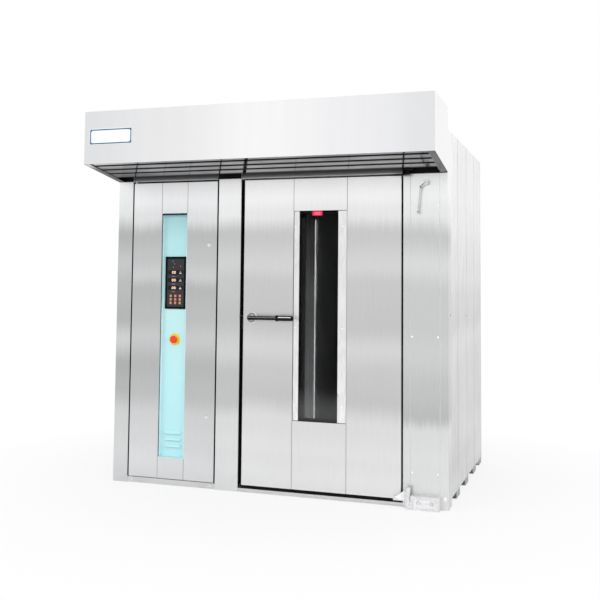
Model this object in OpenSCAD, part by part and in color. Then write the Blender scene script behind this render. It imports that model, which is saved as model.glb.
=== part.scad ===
// Rotating rack oven: one trolley wide, with a service room on the left and an extraction hood.
// Lengths are in millimetres. x runs from the left side, y from the front face backwards, z up.

/* [Casing] */
// Overall width of the oven
body_w = 2140; // [2080:10:2400]
// Depth of the casing behind its front face
body_d = 1467; // [1400:1:1700]
// Top of the casing above the floor
body_h = 2161; // [2130:1:2300]
// Height of the underside of the walls above the floor
base_gap = 45; // [40:1:60]
// Thickness of the insulated walls and of the roof
wall_t = 100; // [90:1:120]
// Modules along each side wall and along the roof
side_modules = 4; // [3:1:6]
// Modules across the rear wall
rear_modules = 5; // [3:1:6]
// Depth of the groove at a seam between modules
seam_groove = 3; // [2:0.5:5]

/* [Front] */
// Width of the left pillar
left_pillar_w = 104; // [100:1:120]
// Width of the service door
service_w = 590; // [580:1:600]
// Gap on each side of the service door
service_gap = 6; // [5:0.5:8]
// Width of the centre pillar
centre_pillar_w = 153; // [140:1:160]
// Width of the oven door
door_w = 987; // [960:1:990]
// Gap on the latch side of the oven door
latch_gap = 22.5; // [20:0.5:25]
// Gap on the hinge side of the oven door
hinge_gap = 9.5; // [8:0.5:12]
// Underside of the oven door above the floor
door_z = 44; // [42:1:50]
// Top of both doors above the floor
door_top = 1898; // [1870:1:1900]
// Thickness of the oven door without its seal
door_t = 100; // [90:1:105]
// Thickness of the door seal
seal_t = 10; // [8:1:14]
// Thickness of the service door
service_t = 38; // [36:1:45]
// Underside of the service door above the floor
service_z = 41; // [40:1:50]

/* [Hood] */
// Depth of the hood in front of the casing
hood_d = 424; // [380:1:460]
// Top of the hood above the floor
hood_top = 2295; // [2260:1:2340]
// Lower front edge of the hood above the floor
hood_front_z = 1973; // [1960:1:2000]
// Lower rear edge of the hood above the floor
hood_rear_z = 1910.5; // [1908:0.5:1930]
// Outer diameter of the outlet collar
collar_d = 250; // [200:10:260]

/* [Window] */
// Left edge of the window cut-out from the left edge of the door
window_x = 323.5; // [300:0.5:340]
// Width of the window cut-out
window_w = 336.5; // [320:0.5:350]
// Lower edge of the window above the floor
window_z = 445; // [400:1:500]
// Height of the window
window_h = 1258; // [1200:1:1300]
// Width of the left window trim
trim_left_w = 36; // [30:1:45]
// Width of the right window trim
trim_right_w = 56; // [45:1:60]
// Thickness of each pane
glass_t = 6; // [4:1:8]

/* [Service panel] */
// Left edge of the recess from the left edge of the service door
recess_x = 204; // [190:1:215]
// Width of the recess
recess_w = 180; // [176:1:190]
// Lower edge of the recess above the floor
recess_z = 171; // [150:1:200]
// Height of the recess
recess_h = 1532; // [1500:1:1550]
// Depth of the recess
recess_d = 33; // [28:1:34]
// Width of the control unit
control_w = 145; // [130:1:150]
// Height of the control unit
control_h = 331; // [300:1:350]
// Lower edge of the control unit above the floor
control_z = 1096; // [1050:1:1150]
// Height of the emergency stop above the floor
estop_z = 904; // [850:1:950]

/* [Baking chamber] */
// Height of the chamber floor above the casing's underside
floor_t = 15; // [10:1:20]
// Ceiling of the chamber above the floor of the room
ceiling_z = 1900; // [1890:1:1910]
// Thickness of the slotted partition
partition_t = 60; // [50:1:70]
// Left edge of the partition from the left side of the casing
partition_x = 800; // [790:1:806]
// Depth of the frame round the chamber mouth
frame_t = 40; // [30:1:50]
// Width of the seal's seat on the frame
seal_w = 14; // [12:1:15]
// Space between the air duct panel and the right wall
duct_gap = 55; // [52:1:70]
// Diameter of the rotation shaft
shaft_d = 40; // [35:1:50]
// Length of the carrier's rails
rail_l = 500; // [400:10:600]
// Distance between the carrier's rails
rail_pitch = 560; // [500:10:600]

/* [Fans and heating] */
// Outer diameter of the circulation fan
fan_d = 520; // [450:10:560]
// Blades of the circulation fan
fan_blades = 10; // [6:1:14]
// Centre of the circulation fan from the left side
fan_x = 450; // [430:1:470]
// Diameter of the fan's shaft
fan_shaft_d = 28; // [24:1:32]
// Columns of heating elements
heater_cols = 4; // [2:1:5]
// Rows of heating elements
heater_rows = 4; // [2:1:5]
// Diameter of a heating element
heater_d = 14; // [10:1:16]

/* [Hinges and handle] */
// Distance of the hinge pin from the hinge edge of the oven door
hinge_dx = 47; // [45:1:50]
// Distance of the hinge pin in front of the door
hinge_dy = 45; // [42:1:50]
// Diameter of the hinge pins
pin_d = 16; // [14:1:18]
// Height of the handle above the floor
handle_z = 1054; // [1000:1:1100]
// Handle spindle from the latch edge of the door
handle_x = 60; // [55:1:65]
// Length of the handle from its spindle to its tip
handle_l = 282; // [250:1:300]
// Travel of the latch bolt
bolt_travel = 34; // [32:1:35]
// Swing of the handle between open and latched, in degrees
handle_swing = 75; // [70:1:80]

/* [Hidden] */
$fn = 48;
fit = 0.05;        // radial clearance of a shaft in its bore
near = 0.3;        // gap between a moving piece and its seat
sheet = 3;         // thickness of heavy sheet
thin = 2;          // thickness of light sheet
edge = 3;          // fold radius of sheet edges, cut as a chamfer

// Places across the front
service_x = left_pillar_w + service_gap;
centre_x = service_x + service_w + service_gap;
door_x = centre_x + centre_pillar_w + latch_gap;
right_x = door_x + door_w + hinge_gap;
right_pillar_w = body_w - right_x;
pillar_d = door_t + seal_t + near;
frame_y = pillar_d + frame_t;
door_h = door_top - door_z;
header_z = door_top + 12;

// Places inside the casing
inner_z = body_h - wall_t;
rear_y = body_d - wall_t;
side_x = body_w - wall_t;
chamber_x = partition_x + partition_t;
duct_x = side_x - duct_gap;
chamber_z = base_gap + floor_t;
rot_x = (chamber_x + duct_x) / 2;
rot_y = (frame_y + rear_y) / 2;
mouth_x0 = door_x + 45;
mouth_x1 = door_x + door_w - 45;
mouth_z1 = door_top - 45;
bulkhead_y = 420;
bulkhead_t = 60;
heat_y = bulkhead_y + bulkhead_t;
fan_y = (heat_y + rear_y) / 2;
fan_z = ceiling_z + 25;
fan_h = 110;

// Places on the doors
pin_x = door_x + door_w + hinge_dx;
pin_y = -hinge_dy;
spindle_x = door_x + handle_x;
win_x0 = door_x + window_x;
win_x1 = win_x0 + window_w;
win_z1 = window_z + window_h;
rec_x0 = service_x + recess_x;
rec_cx = rec_x0 + recess_w / 2;
damper_x = side_x - 22;
damper_z = 1853;
lock_x = service_x + service_w - 54;
lock_zs = [432, 1500];
block_top = 78;     // top of the bearing block of the oven door
steel = [0.79, 0.80, 0.81];
bright = [0.88, 0.89, 0.90];
dark = [0.12, 0.12, 0.13];

// Moves the corner frame of this file to the middle of the footprint
module from_corner() translate([-body_w / 2, (hood_d - body_d) / 2, 0]) children();

// A box between two corners
module span(x, y, z) translate([x[0], y[0], z[0]]) cube([x[1] - x[0], y[1] - y[0], z[1] - z[0]]);

// An upright cylinder, and ones lying along x and along y
module up(x, y, z, d, h) translate([x, y, z]) cylinder(d = d, h = h);
module along_x(x, y, z, d, h) translate([x, y, z]) rotate([0, 90, 0]) cylinder(d = d, h = h);
module along_y(x, y, z, d, h) translate([x, y, z]) rotate([-90, 0, 0]) cylinder(d = d, h = h);

// A hexagon bolt head on a face that looks to the front
module hex_head(x, y, z, s) translate([x, y, z]) rotate([90, 0, 0]) cylinder(d = s, h = s * 0.4, $fn = 6);

// A low domed screw head on a face that looks to the front
module screw_head(x, y, z, d) translate([x, y, z]) rotate([90, 0, 0])
  rotate_extrude() polygon([[0, 0], [d / 2, 0], [d / 2, d * 0.12], [d * 0.3, d * 0.26], [0, d * 0.3]]);

// ---- Insulated walls ----

// A row of modules side by side from y0 to y1, as one panel whose thickness t lies along x. Its outer
// face is grooved at both ends and at the seams, which lie at equal parts of the given total
module module_row(y0, y1, count, total, t, h) {
  g = seam_groove;
  seams = [for (i = [1 : count - 1]) let (s = i * total / count) if (s > y0 + 2 * g && s < y1 - 2 * g) s];
  linear_extrude(h)
    polygon(concat([[0, y0], [t - g, y0], [t, y0 + g]],
                   [for (s = seams, k = [-1 : 1]) [t - g * (1 - abs(k)), s + k * g]],
                   [[t, y1 - g], [t - g, y1], [0, y1]]));
}

// Blind hole for a transport bolt in the right side, at y and z
module bolt_hole(y, z) translate([body_w - 14, y, z]) rotate([0, 90, 0]) cylinder(d = 13, h = 15);

module right_wall() from_corner() color(steel)
  difference() {
    translate([side_x, 0, base_gap])
      module_row(pillar_d, body_d, side_modules, body_d, wall_t, body_h - base_gap);
    bolt_hole(709, 1068);
  }

module left_wall() from_corner() color(steel)
  translate([wall_t, 0, base_gap]) mirror([1, 0, 0])
    module_row(pillar_d, body_d, side_modules, body_d, wall_t, body_h - base_gap);

module back_wall() from_corner() color(steel)
  translate([side_x, rear_y, base_gap]) rotate([0, 0, 90])
    module_row(0, side_x - wall_t, rear_modules, side_x - wall_t, wall_t, body_h - base_gap);

// Roof panels between the walls, with holes for the shafts and the steam duct
module roof_panels() from_corner() color(steel)
  difference() {
    translate([side_x, 0, inner_z]) rotate([0, -90, 0])
      module_row(pillar_d, rear_y, side_modules, body_d, wall_t, side_x - wall_t);
    up(rot_x, rot_y, inner_z - 1, shaft_d + 20, wall_t + 2);
    up(fan_x, fan_y, inner_z - 1, fan_shaft_d + 20, wall_t + 2);
    span([damper_x - 23, side_x + 1], [duct_y0 - 1, duct_y1 + 1], [inner_z - 1, body_h + 1]);
  }

// ---- Floor ----

deck_in = 60;      // the deck stands back from the outer faces
deck_z = 22;

module floor_deck() from_corner() color(steel)
  span([deck_in, body_w - deck_in], [pillar_d + 1, body_d - deck_in], [deck_z, base_gap]);

foot_d = 50;

// A foot with its stud below the deck
module foot(x, y) {
  up(x, y, 0, foot_d, 8);
  up(x, y, 8, 16, deck_z - 8);
  translate([x, y, 8]) cylinder(d = 28, h = 6, $fn = 6);
}

cleat_l = 130;
cleat_w = 40;
cleat_t = 4;

// A folded channel below a side wall at a seam, open to the inside: s is 1 on the left, -1 on the right
module cleat(x, y, s) translate([x, y + cleat_l / 2, 0]) rotate([90, 0, 0]) linear_extrude(cleat_l)
  polygon([for (p = [[1, 0], [cleat_w, 0], [cleat_w, cleat_t], [1 + cleat_t, cleat_t],
                     [1 + cleat_t, base_gap - cleat_t], [cleat_w, base_gap - cleat_t],
                     [cleat_w, base_gap], [1, base_gap]]) [s * p[0], p[1]]]);

module levelling_feet() from_corner() color(steel) {
  pitch = body_d / side_modules;
  for (i = [1 : side_modules]) {
    y = min(i * pitch, body_d - cleat_l / 2 - 5);
    cleat(0, y, 1);
    cleat(body_w, y, -1);
  }
  for (i = [0 : side_modules - 1], part = [0.25, 0.5, 0.75]) foot(body_w * part, (i + 0.75) * pitch);
}

module chamber_floor() from_corner() color(bright) {
  span([chamber_x, duct_x + sheet], [frame_y, rear_y], [base_gap, chamber_z]);
  // Pivot ring that centres the foot of the trolley
  translate([rot_x, rot_y, chamber_z]) rotate_extrude()
    polygon([[40, 0], [95, 0], [88, 10], [50, 14]]);
}

// The threshold is a low ramp between the pillars, folded at its front edge
module threshold() from_corner() color(bright) {
  x0 = centre_x + centre_pillar_w;
  translate([x0, 0, 0]) rotate([90, 0, 90]) linear_extrude(right_x - x0)
    polygon([[6, 0], [pillar_d, 0], [pillar_d, door_z - 4], [door_t * 0.9, door_z - 4],
             [10, door_z * 0.55], [6, door_z * 0.5]]);
}

module kick_plate() from_corner() color(steel)
  difference() {
    translate([left_pillar_w, 0, 0]) rotate([90, 0, 90]) linear_extrude(centre_x - left_pillar_w)
      polygon([[4, 2], [pillar_d, 2], [pillar_d, 6], [8, 6], [8, service_z - 9], [30, service_z - 9],
               [30, service_z - 5], [4, service_z - 5]]);
    up(service_pin_x, service_pin_y, service_z - 12, service_pin_d + 2 * fit, 10);
  }

// ---- Front frame ----

// A front piece of width w and depth d whose two front edges are broken
module front_box(x, w, d, z, h) translate([x, 0, z]) linear_extrude(h)
  polygon([[0, edge], [edge, 0], [w - edge, 0], [w, edge], [w, d], [0, d]]);

module pillar(x, w) front_box(x, w, pillar_d, 0, body_h);

module left_pillar() from_corner() color(steel) pillar(0, left_pillar_w);

module centre_pillar() from_corner() color(steel)
  difference() {
    pillar(centre_x, centre_pillar_w);
    // pocket for the latch bolt
    span([door_x - latch_gap - 24, door_x], [bolt_y - bolt_t / 2 - 3, bolt_y + bolt_t / 2 + 3],
         [bolt_z - 3, bolt_z + bolt_h + 3]);
  }

module right_pillar() from_corner() color(steel)
  difference() {
    pillar(right_x, right_pillar_w);
    along_y(damper_x, -1, damper_z, damper_shaft_d + 2, pillar_d + 2);
    bolt_hole(80, 1088);
  }

cover_x0 = right_x + 46;
cover_x1 = body_w - 49;
cover_z0 = block_top + 6;
cover_z1 = hood_rear_z - 6.5;
cover_t = 4;
cover_screws = [0.062, 0.484, 0.901];   // heights of the screws as parts of the cover's height

module right_pillar_cover() from_corner() color(bright)
  difference() {
    translate([0, 0, cover_z0]) linear_extrude(cover_z1 - cover_z0)
      polygon([[cover_x0, 0], [cover_x0, -cover_t + 1], [cover_x0 + 1, -cover_t], [cover_x1 - 1, -cover_t],
               [cover_x1, -cover_t + 1], [cover_x1, 0]]);
    along_y(damper_x, -cover_t - 1, damper_z, damper_shaft_d + 2, cover_t + 2);
  }

module casing_screws() from_corner() color(bright) {
  for (x = [cover_x0 + 9, cover_x1 - 9], part = cover_screws)
    screw_head(x, -cover_t, cover_z0 + part * (cover_z1 - cover_z0), 11);
  hex_head(body_w - 18, 0, 63, 19);
  for (x = [left_pillar_w + 30, centre_x - 30]) screw_head(x, 4, service_z * 0.45, 9);
}

// Header panels above the doors, behind the hood
module header_panels() from_corner() color(steel)
  difference() {
    union() {
      span([left_pillar_w, centre_x], [6, pillar_d], [header_z, body_h]);
      span([centre_x + centre_pillar_w, right_x], [6, pillar_d], [header_z, body_h]);
    }
    up(service_pin_x, service_pin_y, header_z - 1, service_pin_d + 2 * fit, 22);
  }

// Frame round the chamber mouth, against which the door seals
module mouth_frame() from_corner() color(bright)
  difference() {
    span([partition_x, side_x], [pillar_d, frame_y], [base_gap, inner_z]);
    span([mouth_x0, mouth_x1], [pillar_d - 1, frame_y + 1], [chamber_z, mouth_z1]);
    along_y(damper_x, pillar_d - 1, damper_z, damper_shaft_d + 2, frame_t + 2);
  }

// ---- Inner walls ----

slot_rows = 12;
slot_h = 14;

// Upright field of level air slots through a wall that faces x
module air_slots(x, t, y0, y1, z0, z1, cols)
  for (i = [0 : slot_rows - 1], j = [0 : cols - 1]) {
    pitch_z = (z1 - z0) / slot_rows;
    pitch_y = (y1 - y0) / cols;
    span([x - 1, x + t + 1], [y0 + j * pitch_y + 25, y0 + (j + 1) * pitch_y - 25],
         [z0 + (i + 0.5) * pitch_z, z0 + (i + 0.5) * pitch_z + slot_h]);
  }

module partition_wall() from_corner() color(bright)
  difference() {
    union() {
      span([partition_x, chamber_x], [frame_y, heat_y], [base_gap, inner_z]);
      span([partition_x, chamber_x], [heat_y, rear_y], [base_gap, ceiling_z]);
    }
    air_slots(partition_x, partition_t, heat_y + 40, lamp_y0 - 10, 250, ceiling_z - 100, 2);
  }

module bulkhead() from_corner() color(steel)
  span([wall_t, partition_x], [bulkhead_y, heat_y], [base_gap, inner_z]);

plate_t = 6;

module ceiling_plate() from_corner() color(bright)
  difference() {
    union() {
      translate([0, 0, ceiling_z]) linear_extrude(plate_t)
        polygon([[wall_t, heat_y], [chamber_x, heat_y], [chamber_x, frame_y], [side_x, frame_y],
                 [side_x, rear_y], [wall_t, rear_y]]);
      up(fan_x, fan_y, ceiling_z + plate_t, fan_d * 0.6 + 8, 12);
    }
    up(fan_x, fan_y, ceiling_z - 1, fan_d * 0.6, plate_t + 20);
    up(rot_x, rot_y, ceiling_z - 1, shaft_d + 20, plate_t + 2);
    span([duct_x + sheet + 4, side_x - 4], [duct_y1 + 40, rear_y - 60],
         [ceiling_z - 1, ceiling_z + plate_t + 1]);
    span([damper_x - 23, side_x + 1], [duct_y0 - 1, duct_y1 + 1], [ceiling_z - 1, ceiling_z + plate_t + 1]);
  }

module air_duct_panel() from_corner() color(bright)
  difference() {
    span([duct_x, duct_x + sheet], [frame_y, rear_y], [chamber_z, ceiling_z]);
    air_slots(duct_x, sheet, duct_y1 + 60, rear_y - 60, 200, ceiling_z - 100, 3);
    // port to the steam duct
    span([duct_x - 1, duct_x + sheet + 1], [duct_y0 + 20, duct_y1 - 20], [port_z0, port_z1]);
  }

// ---- Steam exhaust ----

duct_w = 44;
duct_y0 = 162;
duct_y1 = 326;
duct_z0 = 1770;
port_z0 = 1785;
port_z1 = 1835;
damper_shaft_d = 12;
duct_rise = 70;    // height of the spigot above the roof

module exhaust_duct() from_corner() color(steel) {
  x0 = damper_x - duct_w / 2;
  difference() {
    union() {
      span([x0, x0 + duct_w], [duct_y0, duct_y1], [duct_z0, body_h + duct_rise]);
      span([x0 - 20, x0 + duct_w + 20], [duct_y0 - 20, duct_y1 + 20], [body_h, body_h + 3]);
    }
    span([x0 + thin, x0 + duct_w - thin], [duct_y0 + thin, duct_y1 - thin],
         [duct_z0 + thin, body_h + duct_rise + 1]);
    span([x0 - 1, x0 + thin + 1], [duct_y0 + 20, duct_y1 - 20], [port_z0, port_z1]);
    along_y(damper_x, duct_y0 - 1, damper_z, damper_shaft_d + 2 * fit, duct_y1 - duct_y0 + 2);
  }
}

lever_d = 9;
lever_elbow = [-31, -27];    // places on the lever, measured from its shaft
lever_tip = [-46, -173];

// A rod of the lever between two places on it, with a ball at its far end
module lever_rod(from, to, d, ball_d) {
  run = to - from;
  translate([from[0], 0, from[1]]) rotate([0, atan2(run[0], run[1]), 0]) cylinder(d = d, h = norm(run));
  translate([to[0], 0, to[1]]) sphere(d = ball_d);
}

module damper_lever() from_corner() color(bright) {
  y0 = -cover_t - near;
  along_y(damper_x, y0 - 24, damper_z, damper_shaft_d, duct_y1 + 4 - y0 + 24);
  along_y(damper_x, y0 - 27, damper_z, 30, 9);
  along_y(damper_x, y0 - 18, damper_z, 22, 18);
  translate([damper_x, y0 - 22, damper_z]) {
    lever_rod([0, 0], lever_elbow, lever_d + 3, lever_d + 5);
    lever_rod(lever_elbow, lever_tip, lever_d, 16);
  }
  // flap inside the duct
  span([damper_x - duct_w / 2 + 5, damper_x + duct_w / 2 - 5], [duct_y0 + 6, duct_y1 - 6],
       [damper_z - 1, damper_z + 1]);
}

// ---- Oven door ----

skin_seam = 3;     // width of the seams between the strips of a skin

// Front skin with folded returns and seams between its three strips
module door_outer_shell() from_corner() color(steel)
  difference() {
    front_box(door_x, door_w, door_t - sheet, door_z, door_h);
    span([door_x + sheet, door_x + door_w - sheet], [sheet, door_t], [door_z + sheet, door_top - sheet]);
    span([win_x0, win_x1], [-1, sheet + 1], [window_z, win_z1]);
    for (x = [win_x0, win_x1]) {
      span([x - skin_seam / 2, x + skin_seam / 2], [-1, 1.5], [door_z - 1, window_z - 1]);
      span([x - skin_seam / 2, x + skin_seam / 2], [-1, 1.5], [win_z1 + 1, door_top + 1]);
    }
    along_y(spindle_x, -1, handle_z, 22, sheet + 2);
    // hole for the latch bolt
    span([door_x - 1, door_x + sheet + 1], [bolt_y - bolt_t / 2 - near, bolt_y + bolt_t / 2 + near],
         [bolt_z - near, bolt_z + bolt_h + near]);
  }

// Insulated core with the inner lining, a tunnel for the window and a pocket for the latch
module door_core() from_corner() color(bright)
  difference() {
    union() {
      span([door_x + sheet, door_x + door_w - sheet], [sheet, door_t - sheet],
           [door_z + sheet, door_top - sheet]);
      span([door_x, door_x + door_w], [door_t - sheet, door_t], [door_z, door_top]);
    }
    span([win_x0 + rebate, win_x1 - rebate], [-1, door_t + 1], [window_z + rebate, win_z1 - rebate]);
    span([win_x0, win_x1], [sheet - 1, trim_y + thin + glass_t], [window_z, win_z1]);
    span([win_x0, win_x1], [door_t - sheet - glass_t, door_t - sheet], [window_z, win_z1]);
    span([door_x + sheet - 1, spindle_x + 60], [24, 66], [handle_z - 60, handle_z + 40]);
    along_y(spindle_x, sheet - 1, handle_z, 26, 30);
    along_y(spindle_x, 60, handle_z, spindle_d + 2 * fit, 14);
  }

trim_y = 4;
rebate = 8;        // ledge that each pane rests on

module window_trims() from_corner() color(bright) {
  span([win_x0, win_x0 + trim_left_w], [trim_y, trim_y + thin], [window_z, win_z1]);
  span([win_x1 - trim_right_w, win_x1], [trim_y, trim_y + thin], [window_z, win_z1]);
}

module trim_screws() from_corner() color(bright)
  for (z = [window_z + 95, window_z + window_h * 0.44, win_z1 - 97]) {
    screw_head(win_x0 + 12, trim_y, z, 9);
    screw_head(win_x1 - 28, trim_y, z, 9);
  }

// Outer and inner pane
module door_panes() from_corner() color([0.10, 0.11, 0.12])
  for (y = [trim_y + thin, door_t - sheet - glass_t])
    span([win_x0, win_x1], [y, y + glass_t], [window_z, win_z1]);

seal_in = 14;      // the seal stands back from the edge of the door
wiper_h = 16;
wiper_y = [8, 14];

// Seal round the chamber mouth, and the wiper below the front of the door
module door_seal() from_corner() color([0.12, 0.12, 0.13]) {
  span([door_x + 4, door_x + door_w - 4], wiper_y, [door_z - wiper_h, door_z]);
  difference() {
    span([door_x + seal_in, door_x + door_w - seal_in], [door_t, door_t + seal_t],
         [door_z + thin, door_top - seal_in]);
    span([mouth_x0 - seal_w, mouth_x1 + seal_w], [door_t - 1, door_t + seal_t + 1],
         [chamber_z - thin, mouth_z1 + seal_w]);
  }
}

// ---- Hinges of the oven door ----

tongue_top = 40;
barrel_d = 32;
barrel_top = 120;

// Bearing block on the right pillar, with a tongue that carries the hinge pin
module hinge_block() from_corner() color(bright) {
  x0 = pin_x + barrel_d / 2 + 2.5;
  difference() {
    union() {
      translate([0, 0, 4]) linear_extrude(block_top - 4)
        polygon([[x0, 0], [x0, -hinge_dy - 15], [body_w - 50, -hinge_dy - 15], [body_w - 42, -hinge_dy - 7],
                 [body_w - 42, 0]]);
      span([pin_x, x0 + 1], [pin_y - barrel_d / 2, pin_y + barrel_d / 2], [4, tongue_top]);
      up(pin_x, pin_y, 4, barrel_d, tongue_top - 4);
      up(pin_x, pin_y, tongue_top - 1, pin_d, barrel_top - 10 - tongue_top);
    }
    // counterbores of the two fixing bolts
    for (x = [x0 + 45, body_w - 85]) along_y(x, -hinge_dy - 16, 41, 24, 12);
  }
  for (x = [x0 + 45, body_w - 85]) hex_head(x, -hinge_dy - 4, 41, 17);
}

// Triangular gusset on the door with the barrel that turns on the lower pin
module door_lower_hinge() from_corner() color(bright)
  difference() {
    union() {
      up(pin_x, pin_y, tongue_top + near, barrel_d, barrel_top - tongue_top - near);
      translate([0, pin_y + 6, 0]) rotate([90, 0, 0]) linear_extrude(12)
        polygon([[pin_x, barrel_top - 4], [pin_x, door_z + 2],
                 [pin_x - 82, door_z + 2], [pin_x - 82, door_z + 12]]);
      span([pin_x - 82, pin_x - 58], [pin_y - 6, 0], [door_z + 2, door_z + 24]);
    }
    up(pin_x, pin_y, tongue_top - 1, pin_d + 2 * fit, barrel_top - 8 - tongue_top);
  }

arm_t = 6;

// Flat arm on top of the door with the upper pin
module door_upper_hinge() from_corner() color(bright) {
  translate([0, 0, door_top]) linear_extrude(arm_t)
    polygon([[pin_x - 130, 12], [pin_x - 130, 52], [pin_x - hinge_dx - 5, 52], [pin_x - hinge_dx - 5, -6],
             [pin_x + 12, pin_y + 14], [pin_x + 12, pin_y - 14], [pin_x - 14, pin_y - 14]]);
  up(pin_x, pin_y, door_top + arm_t, pin_d, upper_plate_z + 10 - door_top - arm_t);
}

upper_plate_z = 1926;

// Bearing plate fixed to the right pillar above the intake slot of the hood
module upper_hinge_plate() from_corner() color(steel)
  difference() {
    union() {
      span([pin_x - 30, pin_x + 30], [pin_y - 25, 0], [upper_plate_z, upper_plate_z + 12]);
      span([pin_x - 30, pin_x + 30], [-8, 0], [upper_plate_z, upper_plate_z + 60]);
    }
    up(pin_x, pin_y, upper_plate_z - 1, pin_d + 2 * fit, 14);
  }

// ---- Handle and latch ----

spindle_d = 18;
lever_y = -46;
crank_y = 34;
crank_r = bolt_travel / (2 * sin(handle_swing / 2));
bolt_y = 54;
bolt_t = 12;
bolt_h = 22;
bolt_z = handle_z - crank_r - bolt_h / 2;
crank_pin_d = 8;

module handle_rosette() from_corner() color(bright)
  difference() {
    translate([spindle_x, 0, handle_z]) rotate([90, 0, 0]) rotate_extrude()
      polygon([[0, 0], [34, 0], [34, 5], [31, 9], [18, 11], [15, 26], [0, 26]]);
    along_y(spindle_x, -30, handle_z, spindle_d + 2 * fit, 32);
  }

// Lever arm turned about its length, the spindle through the door and the crank inside it
module door_handle() from_corner() color(bright) {
  arm_l = handle_l - 106;
  translate([spindle_x, lever_y, handle_z]) rotate([0, 90, 0]) rotate_extrude()
    polygon([[0, -16], [9, -13], [13, -6], [14, 4], [12, 60], [12, arm_l - 9], [15, arm_l - 7],
             [17, arm_l - 4], [17, arm_l], [0, arm_l]]);
  along_y(spindle_x, lever_y, handle_z, 26, -26 - near - lever_y);
  along_y(spindle_x, -27, handle_z, spindle_d, 27 + 74);
  translate([spindle_x, crank_y, handle_z]) rotate([0, -handle_swing / 2, 0]) {
    translate([-9, 0, -crank_r]) cube([18, 8, crank_r]);
    along_y(0, 0, -crank_r, 18, 8);
    along_y(0, 0, -crank_r, crank_pin_d, bolt_y + bolt_t / 2 - crank_y);
  }
}

module handle_grip() from_corner() color(dark)
  translate([spindle_x + handle_l - 106, lever_y, handle_z]) rotate([0, 90, 0]) rotate_extrude()
    polygon([[0, 0], [14, 0], [15, 4], [15, 60], [14.5, 94], [12, 102], [6, 106], [0, 106]]);

// The bolt slides in the edge of the door and is driven by the pin of the crank
module latch_bolt() from_corner() color(bright)
  difference() {
    span([door_x + 1, spindle_x + 45], [bolt_y - bolt_t / 2, bolt_y + bolt_t / 2], [bolt_z, bolt_z + bolt_h]);
    translate([spindle_x + bolt_travel / 2, bolt_y - bolt_t / 2 - 1, 0])
      span([-crank_pin_d / 2 - 1, crank_pin_d / 2 + 1], [0, bolt_t + 2], [bolt_z + 4, bolt_z + bolt_h + 1]);
  }

// Strike for the latch bolt, and two tabs that the cams of the service door reach behind
module strike_plates() from_corner() color(bright) {
  difference() {
    span([door_x - latch_gap, door_x - latch_gap + 4], [bolt_y - 24, bolt_y + 24],
         [bolt_z - 30, bolt_z + bolt_h + 30]);
    span([door_x - latch_gap - 1, door_x - latch_gap + 5], [bolt_y - bolt_t / 2 - 2, bolt_y + bolt_t / 2 + 2],
         [bolt_z - 2, bolt_z + bolt_h + 2]);
  }
  for (z = lock_zs) span([centre_x - 23, centre_x], [service_t + 2, service_t + 7], [z - 16, z + 16]);
}

// ---- Service door ----

service_pin_d = 10;
service_pin_x = service_x + 12;
service_pin_y = 12;

module service_door_shell() from_corner() color(steel) {
  difference() {
    front_box(service_x, service_w, service_t, service_z, door_top - service_z);
    span([service_x + thin, service_x + service_w - thin], [thin, service_t + 1],
         [service_z + thin, door_top - thin]);
    span([rec_x0, rec_x0 + recess_w], [-1, thin + 1], [recess_z, recess_z + recess_h]);
    for (x = [rec_x0, rec_x0 + recess_w]) {
      span([x - skin_seam / 2, x + skin_seam / 2], [-1, 1], [service_z - 1, recess_z - 1]);
      span([x - skin_seam / 2, x + skin_seam / 2], [-1, 1], [recess_z + recess_h + 1, door_top + 1]);
    }
    for (z = lock_zs) along_y(lock_x, -1, z, 20.2, thin + 2);
  }
  // pivot pins and their blocks
  for (z = [service_z + thin, door_top - thin - 30])
    span([service_x + thin, service_x + 24], [thin, 24], [z, z + 30]);
  up(service_pin_x, service_pin_y, door_top - 1, service_pin_d, 25);
  up(service_pin_x, service_pin_y, service_z - 9, service_pin_d, 10);
}

louvre_n = 3;
louvre_w = 110;
louvre_r = 17;
louvre_pitch = 41;
louvre_z = 233;

// One louvre: a raised lip above its slot
module louvre_lip(z) translate([rec_cx, recess_d + 7, z]) intersection() {
  difference() {
    rotate([0, 90, 0]) cylinder(r = louvre_r, h = louvre_w, center = true);
    rotate([0, 90, 0]) cylinder(r = louvre_r - 1.6, h = louvre_w - 3.2, center = true);
  }
  translate([-louvre_w / 2, -louvre_r - 1, -1]) cube([louvre_w, louvre_r + 1 - 7, louvre_r + 1]);
}

module recess_panel() from_corner() color([0.68, 0.91, 0.92]) {
  x0 = rec_x0 + 0.4;
  x1 = rec_x0 + recess_w - 0.4;
  z0 = recess_z + 0.4;
  z1 = recess_z + recess_h - 0.4;
  difference() {
    union() {
      span([x0, x1], [0.5, recess_d + thin], [z0, z1]);
      // rear flange that lies against the inside of the front sheet
      span([x0 - 12, x1 + 12], [thin, thin + 1.6], [z0 - 12, z1 + 12]);
    }
    span([x0 + 1.6, x1 - 1.6], [-1, recess_d], [z0 + 1.6, z1 - 1.6]);
    span([rec_cx - control_w / 2 + 6, rec_cx + control_w / 2 - 6], [recess_d - 1, recess_d + thin + 1],
         [control_z + 6, control_z + control_h - 6]);
    along_y(rec_cx, recess_d - 1, estop_z, 22.4, thin + 2);
    for (i = [0 : louvre_n - 1])
      span([rec_cx - louvre_w / 2 + 2, rec_cx + louvre_w / 2 - 2], [recess_d - 1, recess_d + thin + 1],
           [louvre_z + i * louvre_pitch, louvre_z + i * louvre_pitch + 12]);
  }
  for (i = [0 : louvre_n - 1]) louvre_lip(louvre_z + i * louvre_pitch);
}

bezel_w = 14;

// A box that stands back by in from each edge of the control unit
module control_span(in, y0, y1)
  span([rec_cx - control_w / 2 + in, rec_cx + control_w / 2 - in], [y0, y1],
       [control_z + in, control_z + control_h - in]);

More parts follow.
